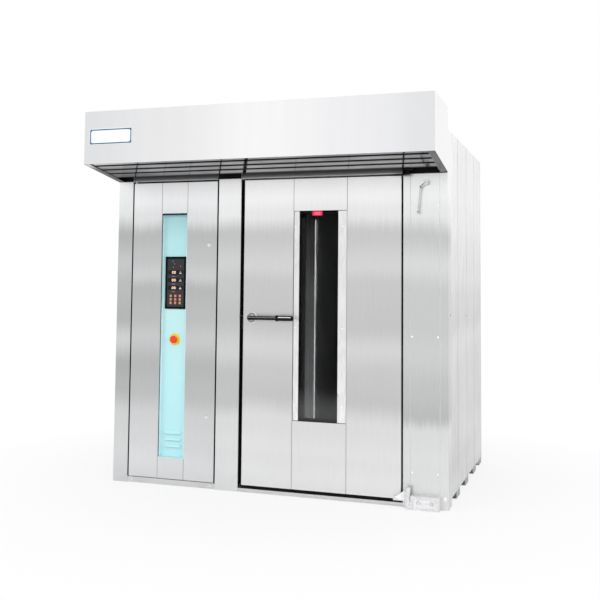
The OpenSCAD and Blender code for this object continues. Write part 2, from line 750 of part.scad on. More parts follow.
// Black bezel and the box behind it
module control_housing() from_corner() color(dark)
  difference() {
    union() {
      control_span(0, recess_d - 6, recess_d);
      control_span(7, recess_d, recess_d + 42);
    }
    control_span(bezel_w, recess_d - 7, recess_d - 3);
  }

readout_zs = [133, 182, 231];    // heights of the readouts above the control unit's lower edge

// Face of the control unit with three windows for readouts and nine flat key pads
module control_face() from_corner() color([0.22, 0.23, 0.25]) {
  w = control_w / 2 - bezel_w - 5;
  for (z = readout_zs)
    span([rec_cx - w, rec_cx + w], [recess_d - 4.8, recess_d - 4.4],
         [control_z + z - 13, control_z + z + 13]);
  control_span(bezel_w, recess_d - 4.5, recess_d - 3);
  for (i = [0 : 2], j = [0 : 2])
    along_y(rec_cx + (i - 1) * 32, recess_d - 5.3, control_z + 38 + j * 22, 14, 1);
}

estop_base_d = 74;

module estop_collar() from_corner() color([0.95, 0.80, 0.10])
  difference() {
    union() {
      translate([rec_cx, recess_d, estop_z]) rotate([90, 0, 0]) rotate_extrude()
        polygon([[0, 0], [estop_base_d / 2, 0], [estop_base_d / 2, 2], [estop_base_d / 2 - 3, 5], [0, 5]]);
      along_y(rec_cx, recess_d, estop_z, 22, 40);
    }
    along_y(rec_cx, recess_d - 6, estop_z, estop_stem_d + 2 * fit, 41);
  }

estop_stem_d = 14;
estop_push = 5;
estop_gap = estop_push + 1;

module estop_stem() from_corner() color(dark) {
  along_y(rec_cx, recess_d - 5 - estop_gap, estop_z, estop_stem_d, 34);
  along_y(rec_cx, recess_d - 5 - estop_gap - 8, estop_z, 9, 9);
}

module estop_head() from_corner() color([0.86, 0.22, 0.10])
  difference() {
    translate([rec_cx, recess_d - 5 - estop_gap - near, estop_z]) rotate([90, 0, 0]) rotate_extrude()
      polygon([[0, 0], [17, 0], [22, 4], [24, 8], [22.5, 12], [16, 16], [7, 17.6], [0, 18]]);
    along_y(rec_cx, recess_d - 5 - estop_gap - 8.3, estop_z, 9 + 2 * fit, 12);
  }

// Quarter-turn lock: head, barrel and the cam that reaches behind its keeper when turned
module quarter_lock(z) {
  difference() {
    union() {
      translate([lock_x, -near, z]) rotate([90, 0, 0]) rotate_extrude()
        polygon([[0, 0], [13, 0], [13, 1.5], [11, 3], [0, 3]]);
      along_y(lock_x, -near, z, 20, service_t + 8 + near);
    }
    translate([lock_x - 1.5, -near - 4, z - 7]) cube([3, 3, 14]);
  }
  translate([lock_x - 9, service_t + 8, z - 9]) cube([18, 3, 60]);
}

module upper_lock() from_corner() color(bright) quarter_lock(lock_zs[1]);
module lower_lock() from_corner() color(bright) quarter_lock(lock_zs[0]);

// ---- Hood ----

hood_lean = atan((hood_front_z - hood_rear_z) / hood_d);

// Outline of the hood from the side, with y to the front negative
function hood_outline(in, drop) = [[-in, hood_rear_z - drop], [-hood_d + in, hood_front_z - drop],
                                   [-hood_d + in, hood_top - in], [-in, hood_top - in]];

module hood_shell() from_corner() color(bright)
  difference() {
    rotate([90, 0, 90]) linear_extrude(body_w) polygon(hood_outline(0, 0));
    translate([sheet, 0, 0]) rotate([90, 0, 90]) linear_extrude(body_w - 2 * sheet)
      polygon(hood_outline(sheet, 50));
    up(outlet_x, outlet_y, hood_top - sheet - 1, collar_d + 2, sheet + 2);
    span([pin_x - 32, pin_x + 32], [-sheet - 1, 1], [hood_rear_z - 1, upper_plate_z + 63]);
    // the header panels show above the doors
    for (x = [[left_pillar_w, centre_x], [centre_x + centre_pillar_w, right_x - 3]])
      span(x, [-sheet - 1, 1], [hood_rear_z - 1, hood_rear_z + 50]);
  }

slat_gap = 22;     // gap between two slats
slat_pitch = 88;
intake_l = 120;    // depth of the intake slot in front of the casing
border = 39;

// Sloping underside: four slats between two end borders, with the intake slot at the rear
module hood_grille() from_corner() color(bright)
  translate([0, -hood_d, hood_front_z]) rotate([-hood_lean, 0, 0]) {
    slope_l = hood_d / cos(hood_lean);
    x0 = sheet;
    x1 = body_w - sheet;
    rear = slope_l - sheet - 0.6;
    slot_s = slope_l - intake_l;
    slot_n = 3;
    gaps = [for (i = [0 : slot_n - 1]) slot_s - (slot_n - i) * slat_pitch - slat_gap / 2];
    difference() {
      span([x0, x1], [sheet + 0.6, rear], [0, sheet]);
      for (s = gaps) span([x0 + border, x1 - border], [s, s + slat_gap], [-1, sheet + 1]);
      span([x0 + border, x1 - border], [slot_s, rear + 1], [-1, sheet + 1]);
    }
    // upturned edges of the slats
    for (s = concat(gaps, [slot_s])) span([x0 + border, x1 - border], [s - thin, s], [sheet, sheet + 14]);
    for (s = gaps) span([x0 + border, x1 - border], [s + slat_gap, s + slat_gap + thin], [sheet, sheet + 14]);
  }

outlet_x = 700;
outlet_y = -145;
collar_rise = 24;
collar_drop = 95;
impeller_d = collar_d - 14;

module hood_outlet() from_corner() color(steel) {
  z0 = hood_top - collar_drop;
  difference() {
    union() {
      up(outlet_x, outlet_y, z0, collar_d, collar_drop + collar_rise);
      up(outlet_x, outlet_y, hood_top, collar_d + 30, 3);
    }
    up(outlet_x, outlet_y, z0 - 1, collar_d - 5, collar_drop + collar_rise + 2);
  }
  // motor on three arms below the impeller
  difference() {
    union() {
      up(outlet_x, outlet_y, z0 - 50, 96, 70);
      for (a = [0, 120, 240]) translate([outlet_x, outlet_y, z0 + 4]) rotate([0, 0, a + 30])
        translate([30, -8, 0]) cube([collar_d / 2 - 32, 16, 5]);
    }
    up(outlet_x, outlet_y, z0, 12 + 2 * fit, 30);
  }
}

module hood_fan() from_corner() color(dark) {
  z0 = hood_top - collar_drop + 22;
  up(outlet_x, outlet_y, z0 - 20, 12, 24);
  translate([outlet_x, outlet_y, z0]) rotate_extrude()
    polygon([[0, 0], [34, 0], [34, 34], [26, 42], [0, 46]]);
  intersection() {
    up(outlet_x, outlet_y, z0, impeller_d, 40);
    for (a = [0 : 72 : 359]) translate([outlet_x, outlet_y, z0 + 18]) rotate([0, 0, a]) rotate([32, 0, 0])
      translate([30, -22, -1.5]) cube([impeller_d / 2, 44, 3]);
  }
}

// ---- Rotation drive and rack carrier ----

bearing_h = 40;
gear_z = body_h + 92;
gear_h = 120;
shaft_top = gear_z + gear_h + 50;
rail_z = 1790;
rail_h = 40;
beam_h = 36;
hub_d = 90;

module shaft_bearing() from_corner() color(steel)
  difference() {
    union() {
      span([rot_x - 70, rot_x + 70], [rot_y - 70, rot_y + 70], [body_h, body_h + 14]);
      up(rot_x, rot_y, body_h, 84, bearing_h);
      for (x = [-52, 52], y = [-52, 52])
        translate([rot_x + x, rot_y + y, body_h + 14]) cylinder(d = 18, h = 8, $fn = 6);
    }
    up(rot_x, rot_y, body_h - 1, shaft_d + 2 * fit, bearing_h + 2);
  }

fin_n = 9;

// Finned motor body turned about z, with its fan cowl at the far end
module finned_motor(d, l) rotate_extrude()
  polygon(concat([[0, 0], [d / 2, 0], [d / 2, l * 0.1]],
    [for (i = [0 : fin_n - 1], j = [0 : 3])
       [d / 2 - (j == 0 || j == 3 ? 7 : 0), l * (0.1 + 0.6 * (i + [0.1, 0.1, 0.6, 0.6][j]) / fin_n)]],
    [[d / 2 - 7, l * 0.7], [d / 2, l * 0.7], [d / 2, l * 0.94], [d / 2 - 8, l], [0, l]]));

motor_d = 112;
motor_l = 210;

module rotation_gearmotor() from_corner() color([0.35, 0.42, 0.50]) {
  w = 170;
  difference() {
    union() {
      // bracket over the bearing
      for (s = [-1, 1]) translate([rot_x, rot_y + s * (w / 2 - 4), body_h])
        translate([-w / 2, -4, 0]) cube([w, 8, gear_z - body_h]);
      for (y = [rot_y - w / 2 - 30, rot_y + w / 2])
        span([rot_x - w / 2, rot_x + w / 2], [y, y + 30], [body_h, body_h + 6]);
      span([rot_x - w / 2, rot_x + w / 2], [rot_y - w / 2, rot_y + w / 2], [gear_z - 8, gear_z]);
      // worm gear housing
      translate([rot_x, rot_y, gear_z]) linear_extrude(gear_h)
        polygon([[-80, -50], [-60, -70], [60, -70], [80, -50], [80, 50], [60, 70], [-60, 70], [-80, 50]]);
      up(rot_x, rot_y, gear_z, 96, gear_h + 8);
    }
    up(rot_x, rot_y, gear_z - 20, shaft_d + 2 * fit, gear_h + 40);
  }
  translate([rot_x - 80, rot_y, gear_z + gear_h / 2]) rotate([0, -90, 0]) {
    cylinder(d = 118, h = 12);
    translate([0, 0, 12]) finned_motor(motor_d, motor_l);
  }
  span([rot_x - 230, rot_x - 150], [rot_y - 40, rot_y + 40],
       [gear_z + gear_h / 2 + 50, gear_z + gear_h / 2 + 84]);
}

// Shaft with the slip clutch on top of the gearbox
module rotation_shaft() from_corner() color(bright) {
  hub_z = rail_z + rail_h + beam_h;
  up(rot_x, rot_y, hub_z, shaft_d, shaft_top - hub_z);
  z0 = gear_z + gear_h + 8 + near;
  translate([rot_x, rot_y, z0]) rotate_extrude()
    polygon([[shaft_d / 2 - 1, 0], [44, 0], [44, 8], [40, 8], [40, 11], [44, 11], [44, 18],
             [shaft_d / 2 - 1, 18]]);
  translate([rot_x, rot_y, z0 + 18]) cylinder(d = 60, h = 14, $fn = 6);
}

// Carrier that holds the top rails of the trolley
module rack_carrier() from_corner() color(bright) {
  beam_z = rail_z + rail_h;
  half = rail_pitch / 2 + 30;
  difference() {
    span([rot_x - half, rot_x + half], [rot_y - 40, rot_y + 40], [beam_z, beam_z + beam_h]);
    span([rot_x - half - 1, rot_x + half + 1], [rot_y - 35, rot_y + 35], [beam_z - 1, beam_z + beam_h - 5]);
  }
  difference() {
    up(rot_x, rot_y, beam_z + 1, hub_d * 0.75, beam_h - 1);
    up(rot_x, rot_y, beam_z, 20, beam_h - 12);
  }
  // rails, each a channel open to the middle, with a stop at its far end
  for (s = [-1, 1]) translate([rot_x + s * rail_pitch / 2, rot_y, rail_z]) difference() {
    translate([-25, -rail_l / 2, 0]) cube([50, rail_l, rail_h]);
    translate([s > 0 ? -26 : -20, -rail_l / 2 - 1, 5]) cube([46, rail_l - 4, rail_h - 10]);
  }
}

// ---- Circulation fan and heating ----

module circulation_fan() from_corner() color(steel) {
  r = fan_d / 2;
  t = 4;
  translate([fan_x, fan_y, fan_z]) {
    difference() {
      cylinder(r = r, h = t);
      translate([0, 0, -1]) cylinder(r = r * 0.64, h = t + 2);
    }
    translate([0, 0, fan_h - t]) cylinder(r = r, h = t);
    // curved blades
    for (i = [0 : fan_blades - 1]) rotate([0, 0, i * 360 / fan_blades]) intersection() {
      translate([r * 0.8, -r * 0.28, t]) difference() {
        cylinder(r = r * 0.42, h = fan_h - 2 * t);
        translate([0, 0, -1]) cylinder(r = r * 0.42 - 3, h = fan_h);
      }
      translate([r * 0.52, -r * 0.2, t - 1]) cube([r * 0.44, r * 0.4, fan_h]);
      difference() {
        cylinder(r = r - 4, h = fan_h);
        translate([0, 0, -1]) cylinder(r = r * 0.66, h = fan_h + 2);
      }
    }
    translate([0, 0, fan_h - 50]) cylinder(d = 70, h = 50);
    translate([0, 0, fan_h]) cylinder(d = fan_shaft_d, h = body_h + 40 - fan_z - fan_h);
  }
}

module fan_motor() from_corner() color([0.35, 0.42, 0.50])
  translate([fan_x, fan_y, body_h]) difference() {
    union() {
      translate([-130, -130, 0]) cube([260, 260, 8]);
      translate([0, 0, 8]) cylinder(d = 200, h = 24);
      translate([0, 0, 32]) finned_motor(180, 220);
      translate([60, -45, 120]) cube([62, 90, 80]);
      for (x = [-112, 112], y = [-112, 112]) translate([x, y, 8]) cylinder(d = 20, h = 8, $fn = 6);
    }
    translate([0, 0, -1]) cylinder(d = fan_shaft_d + 2 * fit, h = 50);
  }

heater_in = 140;      // outer elements from the walls beside them
heater_end = 247;     // ends of the elements from the rear wall
heater_x0 = wall_t + heater_in;
heater_dx = (partition_x - wall_t - 2 * heater_in) / (heater_cols - 1);
heater_z0 = base_gap + 675;
heater_dz = (ceiling_z - 430 - heater_z0) / (heater_rows - 1);
heater_l = rear_y - heat_y - heater_end;
heater_half = 45;

// One hairpin element lying along y
module hairpin(x, z) {
  for (s = [-1, 1]) along_y(x, heat_y + 5, z + s * heater_half, heater_d, heater_l);
  translate([x, heat_y + 5 + heater_l, z]) rotate([0, -90, 0])
    rotate_extrude(angle = 180) translate([heater_half, 0]) circle(d = heater_d);
}

module heater_bank() from_corner() color([0.55, 0.50, 0.48]) {
  x_last = heater_x0 + (heater_cols - 1) * heater_dx;
  z_last = heater_z0 + (heater_rows - 1) * heater_dz;
  span([heater_x0 - 60, x_last + 60], [heat_y, heat_y + 6], [heater_z0 - 100, z_last + 100]);
  for (i = [0 : heater_cols - 1], j = [0 : heater_rows - 1])
    hairpin(heater_x0 + i * heater_dx, heater_z0 + j * heater_dz);
}

steam_tiers = 3;
steam_bars = 5;
steam_in = 80;        // end plates from the walls beside them

// Steam generator: bars in tiers between end plates over a drip tray, with a spray pipe on top
module steam_generator() from_corner() color([0.45, 0.45, 0.46]) {
  x0 = wall_t + steam_in;
  x1 = partition_x - steam_in;
  y0 = heat_y + 120;
  y1 = rear_y - 127;
  pitch = (y1 - y0 - 80) / (steam_bars - 1);
  difference() {
    span([x0, x1], [y0, y1], [base_gap, base_gap + 40]);
    span([x0 + 4, x1 - 4], [y0 + 4, y1 - 4], [base_gap + 4, base_gap + 41]);
  }
  for (x = [x0 + 10, x1 - 18]) span([x, x + 8], [y0 + 4, y1 - 4], [base_gap + 4, base_gap + 330]);
  for (i = [0 : steam_bars - 1], j = [0 : steam_tiers - 1])
    along_x(x0 + 12, y0 + 40 + i * pitch, base_gap + 95 + j * 80, 42, x1 - x0 - 24);
  along_x(x0 + 12, (y0 + y1) / 2, base_gap + 305, 22, x1 - x0 - 24);
}

// ---- Electrics and lamp ----

rail_rows = [160, 420, 700];    // rails of the electrics above the lower edge of their plate

// Plate in the service room: contactors, relays and a terminal strip, each row on its own rail
module electrics_plate() from_corner() color([0.85, 0.85, 0.83]) {
  y = bulkhead_y;
  x0 = wall_t + 90;
  w = partition_x - wall_t - 260;
  z0 = base_gap + 755;
  span([x0, x0 + w], [y - 3, y], [z0, ceiling_z - 200]);
  for (z = rail_rows) span([x0 + 30, x0 + w - 30], [y - 10, y - 3], [z0 + z, z0 + z + 35]);
  for (i = [0 : 3]) translate([x0 + 45 + i * 90, y, z0 + rail_rows[0]]) {
    span([0, 70], [-90, -10], [-35, 55]);
    span([10, 60], [-100, -90], [-10, 30]);
  }
  for (i = [0 : 7]) translate([x0 + 40 + i * 44, y, z0 + rail_rows[1]]) span([0, 38], [-72, -10], [-25, 60]);
  for (i = [0 : 17]) translate([x0 + 40 + i * 20, y, z0 + rail_rows[2]]) span([0, 18], [-50, -10], [-10, 45]);
}

lamp_d = 25;
lamp_y1 = rear_y - 185;
lamp_y0 = lamp_y1 - 165;
lamp_tube_d = 16;

// Lamp on the partition wall: a shallow tray with an upright tube near its far side
module chamber_lamp() from_corner() color([0.9, 0.9, 0.85]) {
  z0 = chamber_z + 180;
  z1 = ceiling_z - 140;
  difference() {
    span([chamber_x, chamber_x + lamp_d], [lamp_y0, lamp_y1], [z0, z1]);
    span([chamber_x + 4, chamber_x + lamp_d + 1], [lamp_y0 + 5, lamp_y1 - 5], [z0 + 10, z1 - 10]);
  }
  up(chamber_x + lamp_d / 2 + 2, lamp_y1 - 17, z0 + 6, lamp_tube_d, z1 - z0 - 12);
}

floor_deck();
levelling_feet();
left_wall();
right_wall();
back_wall();
roof_panels();
left_pillar();
centre_pillar();
right_pillar();
right_pillar_cover();
casing_screws();
header_panels();
threshold();
kick_plate();
mouth_frame();
partition_wall();
bulkhead();
ceiling_plate();
air_duct_panel();
chamber_floor();
exhaust_duct();
damper_lever();
heater_bank();
steam_generator();
electrics_plate();
chamber_lamp();
hood_shell();
hood_grille();
hood_outlet();
hood_fan();
rotation_gearmotor();
shaft_bearing();
rotation_shaft();
rack_carrier();
circulation_fan();
fan_motor();
door_outer_shell();
door_core();
door_panes();
window_trims();
trim_screws();
door_seal();
door_lower_hinge();
door_upper_hinge();
hinge_block();
upper_hinge_plate();
handle_rosette();
door_handle();
handle_grip();
latch_bolt();
strike_plates();
service_door_shell();
recess_panel();
control_housing();
control_face();
estop_collar();
estop_stem();
estop_head();
upper_lock();
lower_lock();
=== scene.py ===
import math

import bmesh
import bpy
from mathutils import Matrix, Vector


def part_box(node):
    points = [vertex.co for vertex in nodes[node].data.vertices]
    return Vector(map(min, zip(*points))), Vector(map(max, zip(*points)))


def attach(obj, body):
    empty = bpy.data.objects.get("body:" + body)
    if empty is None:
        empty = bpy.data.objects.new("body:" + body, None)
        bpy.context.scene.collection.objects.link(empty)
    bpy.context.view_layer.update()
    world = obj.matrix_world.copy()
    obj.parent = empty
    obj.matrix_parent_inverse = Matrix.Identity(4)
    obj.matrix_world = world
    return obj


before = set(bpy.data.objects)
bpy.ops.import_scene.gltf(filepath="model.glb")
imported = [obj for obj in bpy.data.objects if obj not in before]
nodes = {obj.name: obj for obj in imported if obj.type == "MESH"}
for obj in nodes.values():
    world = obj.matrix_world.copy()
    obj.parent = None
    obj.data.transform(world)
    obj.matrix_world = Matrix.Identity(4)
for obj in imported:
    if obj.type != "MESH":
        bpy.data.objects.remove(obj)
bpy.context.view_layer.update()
print("frame loaded:", len(nodes), "nodes")

scene = bpy.context.scene
scene.view_settings.view_transform = "Standard"

# modelling helpers


def setMode(mode):
    bpy.ops.object.mode_set(mode=mode)


def dropSelection():
    if bpy.context.object and bpy.context.object.mode != "OBJECT":
        setMode("OBJECT")
    bpy.ops.object.select_all(action="DESELECT")


def active(obj):
    dropSelection()
    obj.select_set(True)
    bpy.context.view_layer.objects.active = obj


def addBlock(name, low, high):
    # a cube primitive at its real place, its size already in the mesh
    dropSelection()
    low, high = Vector(low), Vector(high)
    bpy.ops.mesh.primitive_cube_add(size=1, location=(low + high) / 2, scale=high - low)
    obj = bpy.context.object
    obj.name = obj.data.name = name
    bpy.ops.object.transform_apply(location=True, rotation=True, scale=True)
    return obj


def addDisc(name, centre, radius, depth, axis, sides):
    # a cylinder primitive that lies along X or Y
    dropSelection()
    turn = {"X": (0, math.pi / 2, 0), "Y": (math.pi / 2, 0, 0)}[axis]
    bpy.ops.mesh.primitive_cylinder_add(vertices=sides, radius=radius, depth=depth, location=centre,
                                        rotation=turn)
    obj = bpy.context.object
    obj.name = obj.data.name = name
    bpy.ops.object.transform_apply(location=True, rotation=True, scale=True)
    return obj


def pickFaces(obj, test):
    # opens the piece in edit mode with the faces that pass the test selected
    active(obj)
    setMode("EDIT")
    bpy.ops.mesh.select_mode(type="FACE")
    bpy.ops.mesh.select_all(action="DESELECT")
    mesh = bmesh.from_edit_mesh(obj.data)
    for face in mesh.faces:
        if test(face.calc_center_median(), face.normal):
            face.select = True
    mesh.select_flush(True)
    bmesh.update_edit_mesh(obj.data)


def facesFront(centre, normal):
    return normal.y < -0.9


def insetFaces(obj, test, *steps):
    # insets the faces that pass the test, each step a thickness and a depth
    pickFaces(obj, test)
    for thickness, depth in steps:
        bpy.ops.mesh.inset(thickness=thickness, depth=depth)
    setMode("OBJECT")


def roundCorners(obj, axis, radius, segments=5):
    # rounds the four edges that lie along an axis
    active(obj)
    setMode("EDIT")
    bpy.ops.mesh.select_mode(type="EDGE")
    bpy.ops.mesh.select_all(action="DESELECT")
    mesh = bmesh.from_edit_mesh(obj.data)
    across = [i for i in range(3) if "XYZ"[i] != axis]
    for edge in mesh.edges:
        a, b = (v.co for v in edge.verts)
        if all(abs(a[i] - b[i]) < 1e-6 for i in across):
            edge.select = True
    bmesh.update_edit_mesh(obj.data)
    bpy.ops.mesh.bevel(offset=radius, segments=segments, affect="EDGES")
    setMode("OBJECT")


def softEdges(obj, width, segments=2):
    # a small bevel on the sharp edges, and smooth shading
    active(obj)
    bevel = obj.modifiers.new("edges", "BEVEL")
    bevel.width = width
    bevel.segments = segments
    bevel.limit_method = "ANGLE"
    bevel.angle_limit = math.radians(40)
    bpy.ops.object.modifier_apply(modifier=bevel.name)
    bpy.ops.object.shade_smooth_by_angle(angle=math.radians(35))
    return obj


def copyTo(obj, name, offset):
    # a moved copy with its own mesh
    other = obj.copy()
    other.data = obj.data.copy()
    other.name = other.data.name = name
    scene.collection.objects.link(other)
    other.data.transform(Matrix.Translation(offset))
    return other


def joinAll(objs, name):
    dropSelection()
    for obj in objs:
        obj.select_set(True)
    bpy.context.view_layer.objects.active = objs[0]
    bpy.ops.object.join()
    objs[0].name = objs[0].data.name = name
    return objs[0]


def fit(obj, body, slot, *materials):
    # gives a finished piece its materials and its body; its slot is not used
    obj.data.materials.clear()
    for material in materials:
        obj.data.materials.append(material)
    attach(obj, body)


# node helpers


def feed(tree, socket, value):
    # links an output to a socket, or sets a plain value
    if isinstance(value, bpy.types.NodeSocket):
        tree.links.new(value, socket)
    else:
        socket.default_value = value


def maths(tree, operation, a, b=None, c=None, clamp=False):
    node = tree.nodes.new("ShaderNodeMath")
    node.operation = operation
    node.use_clamp = clamp
    for socket, value in zip(node.inputs, (a, b, c)):
        if value is not None:
            feed(tree, socket, value)
    return node.outputs[0]


def spread(tree, value, fromLow, fromHigh, low, high):
    # carries a value from one range to another, and holds it at the ends
    node = tree.nodes.new("ShaderNodeMapRange")
    for socket, v in zip(node.inputs, (value, fromLow, fromHigh, low, high)):
        feed(tree, socket, v)
    return node.outputs[0]


def mixColour(tree, share, a, b, blend="MIX"):
    node = tree.nodes.new("ShaderNodeMix")
    node.data_type = "RGBA"
    node.blend_type = blend
    feed(tree, node.inputs[0], share)
    feed(tree, node.inputs[6], a)
    feed(tree, node.inputs[7], b)
    return node.outputs[2]


def objectSpace(tree):
    return tree.nodes.new("ShaderNodeTexCoord").outputs["Object"]


def placeOf(tree):
    # the three object coordinates, apart
    place = tree.nodes.new("ShaderNodeSeparateXYZ")
    tree.links.new(objectSpace(tree), place.inputs[0])
    return place.outputs


def stretched(tree, scale=(1, 1, 1)):
    # object coordinates, squeezed or stretched by a Mapping node
    mapping = tree.nodes.new("ShaderNodeMapping")
    tree.links.new(objectSpace(tree), mapping.inputs["Vector"])
    mapping.inputs["Scale"].default_value = scale
    return mapping.outputs[0]


def noise(tree, vector, scale, detail, rough=0.5):
    node = tree.nodes.new("ShaderNodeTexNoise")
    feed(tree, node.inputs["Vector"], vector)
    feed(tree, node.inputs["Scale"], scale)
    node.inputs["Detail"].default_value = detail
    node.inputs["Roughness"].default_value = rough
    return node.outputs[0]


def grey(level):
    # a grey as it is seen on screen, from 0 to 1
    return level / 12.92 if level < 0.04045 else ((level + 0.055) / 1.055) ** 2.4


def seen(r, g, b):
    # a colour as it is seen on screen, each part from 0 to 255
    return (grey(r / 255), grey(g / 255), grey(b / 255), 1)


def ramp(tree, value, stops):
    # colours along a value, each stop a place from 0 to 1 and a colour
    node = tree.nodes.new("ShaderNodeValToRGB")
    node.color_ramp.interpolation = "EASE"
    feed(tree, node.inputs[0], value)
    bar = node.color_ramp.elements
    while len(bar) < len(stops):
        bar.new(0.5)
    for mark, (place, colour) in zip(bar, stops):
        mark.position = place
        mark.color = (*colour[:3], 1)
    return node.outputs[0]


def group(name, inputs, outputs):
    # a shader group of number sockets: inputs with their usual values, and outputs
    tree = bpy.data.node_groups.new(name, "ShaderNodeTree")
    for label, value in inputs.items():
        socket = tree.interface.new_socket(name=label, in_out="INPUT", socket_type="NodeSocketFloat")
        socket.default_value = value
    for label in outputs:
        tree.interface.new_socket(name=label, in_out="OUTPUT", socket_type="NodeSocketFloat")
    return tree, tree.nodes.new("NodeGroupInput").outputs, tree.nodes.new("NodeGroupOutput").inputs


def use(tree, made, **values):
    # places a shader group in a material, with its own values
    node = tree.nodes.new("ShaderNodeGroup")
    node.node_tree = made
    for key, value in values.items():
        node.inputs[key].default_value = value
    return node.outputs


# shared shader groups

# brushed grain: fine and coarse streaks that run along Z
grainUp, get, give = group("grainUp", {"Fine": 900, "Coarse": 70, "Weight": 0.5}, ("Grain", "Bump"))
fineStreak = noise(grainUp, stretched(grainUp, (1, 1, 0.012)), get["Fine"], 2)
coarseStreak = noise(grainUp, stretched(grainUp, (1, 1, 0.03)), get["Coarse"], 3)
excess = maths(grainUp, "SUBTRACT", coarseStreak, fineStreak)
feed(grainUp, give["Grain"], maths(grainUp, "MULTIPLY_ADD", excess, get["Weight"], fineStreak))
feed(grainUp, give["Bump"], fineStreak)

# cloudy film: handling marks and faint smears
smears, get, give = group("smears", {"Size": 3, "Contrast": 1}, ("Mask",))
cloud = noise(smears, stretched(smears, (1, 1, 0.6)), get["Size"], 5, 0.6)
blot = maths(smears, "MULTIPLY", maths(smears, "SUBTRACT", cloud, 0.5), get["Contrast"])
feed(smears, give["Mask"], spread(smears, blot, -0.2, 0.2, 0, 1))

# hanging film: upright creases of a protective film left on sheet metal
creases, get, give = group("creases", {"Width": 16, "Length": 0.8}, ("Height", "Tone"))
warp = noise(creases, objectSpace(creases), 2.2, 2)
ridge = noise(creases, stretched(creases, (1, 1, 0.09)), get["Width"], 4, 0.55)
bent = maths(creases, "ADD", ridge, maths(creases, "MULTIPLY", warp, get["Length"]))
wave = maths(creases, "PINGPONG", bent, 0.11)
feed(creases, give["Height"], maths(creases, "MULTIPLY", wave, 9))
feed(creases, give["Tone"], ridge)

# edge wear: patches on the mesh's outward edges
wearMask, get, give = group("wearMask", {"Patchiness": 40}, ("Mask",))
turn = wearMask.nodes.new("ShaderNodeNewGeometry").outputs["Pointiness"]
patch = noise(wearMask, stretched(wearMask), get["Patchiness"], 4)
edge = spread(wearMask, turn, 0.5, 0.56, 0, 1)
feed(wearMask, give["Mask"], maths(wearMask, "MULTIPLY", edge, patch, clamp=True))

print("shader groups ready")

# materials

hoodLow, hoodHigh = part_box("hood_shell")
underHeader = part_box("header_panels")[0].z - 0.005  # just below the header, where its shade begins
# middles of the two bolt holes in the right side, in Y and Z, and how near to them their faces lie
boltHoles = {"right_wall": (0.1875, 1.068), "right_pillar": (-0.4415, 1.088)}
holeReach = 0.008
windowDepth = 0.0018  # how far the control unit's window lies before the back of its face


def newMaterial(name):
    material = bpy.data.materials.new(name)
    material.use_nodes = True
    tree = material.node_tree
    return material, tree, tree.nodes["Principled BSDF"]


def dress(tree, shader, colour, roughness, metal=0.0):
    # gives the shader its colour, roughness and share of metal, as plain values or from nodes
    feed(tree, shader.inputs["Base Color"], colour)
    feed(tree, shader.inputs["Roughness"], roughness)
    feed(tree, shader.inputs["Metallic"], metal)


def bumpFrom(tree, shader, height, strength, distance=0.001):
    bump = tree.nodes.new("ShaderNodeBump")
    bump.inputs["Strength"].default_value = strength
    bump.inputs["Distance"].default_value = distance
    feed(tree, bump.inputs["Height"], height)
    tree.links.new(bump.outputs[0], shader.inputs["Normal"])


def paintedLightByHeight(tree, stops, comb=0.0):
    # painted light and shade of a sheet over its height, each stop a height in metres and a grey from 0 to
    # 255; comb sets how far the brush strokes carry one tone into the next
    top = 2.2
    sway = noise(tree, stretched(tree, (0.8, 0.8, 0.5)), 2.0, 2)
    height = maths(tree, "MULTIPLY_ADD", maths(tree, "SUBTRACT", sway, 0.5), 0.09, placeOf(tree)["Z"])
    if comb:
        stroke = noise(tree, stretched(tree, (1, 1, 0.02)), 140, 3, 0.7)
        height = maths(tree, "MULTIPLY_ADD", maths(tree, "SUBTRACT", stroke, 0.5), comb, height)
    share = maths(tree, "DIVIDE", height, top)
    return ramp(tree, share, [(z / top, (grey(v / 255),) * 3) for z, v in stops])


# painted reflection bands of the front sheets: pale at the top, three soft waves, paler again near the floor
reflectionBands = {
    "door": [(0.1, 250), (0.25, 240), (0.44, 229), (0.60, 203), (0.74, 206), (0.88, 218), (1.02, 203),
             (1.25, 206), (1.36, 218), (1.55, 207), (1.68, 240), (1.79, 255)],
    "service": [(0.1, 240), (0.30, 224), (0.40, 218), (0.58, 196), (0.74, 190), (0.92, 207), (1.04, 196),
                (1.21, 191), (1.30, 212), (1.42, 202), (1.56, 194), (1.68, 234), (1.80, 250)],
    "pillar": [(0.1, 246), (0.25, 236), (0.42, 228), (0.54, 202), (0.70, 200), (0.84, 216), (1.04, 200),
               (1.24, 206), (1.38, 216), (1.56, 203), (1.70, 246), (1.82, 255)],
    "leftPillar": [(0.1, 232), (0.40, 218), (0.60, 188), (0.74, 182), (0.90, 214), (1.04, 188),
                   (1.24, 194), (1.38, 206), (1.56, 188), (1.72, 238), (1.84, 246)],
    "cover": [(0.1, 244), (0.25, 236), (0.44, 228), (0.53, 194), (0.66, 200), (0.88, 212), (1.04, 208),
              (1.22, 209), (1.38, 224), (1.54, 206), (1.68, 240), (1.80, 252)],
}


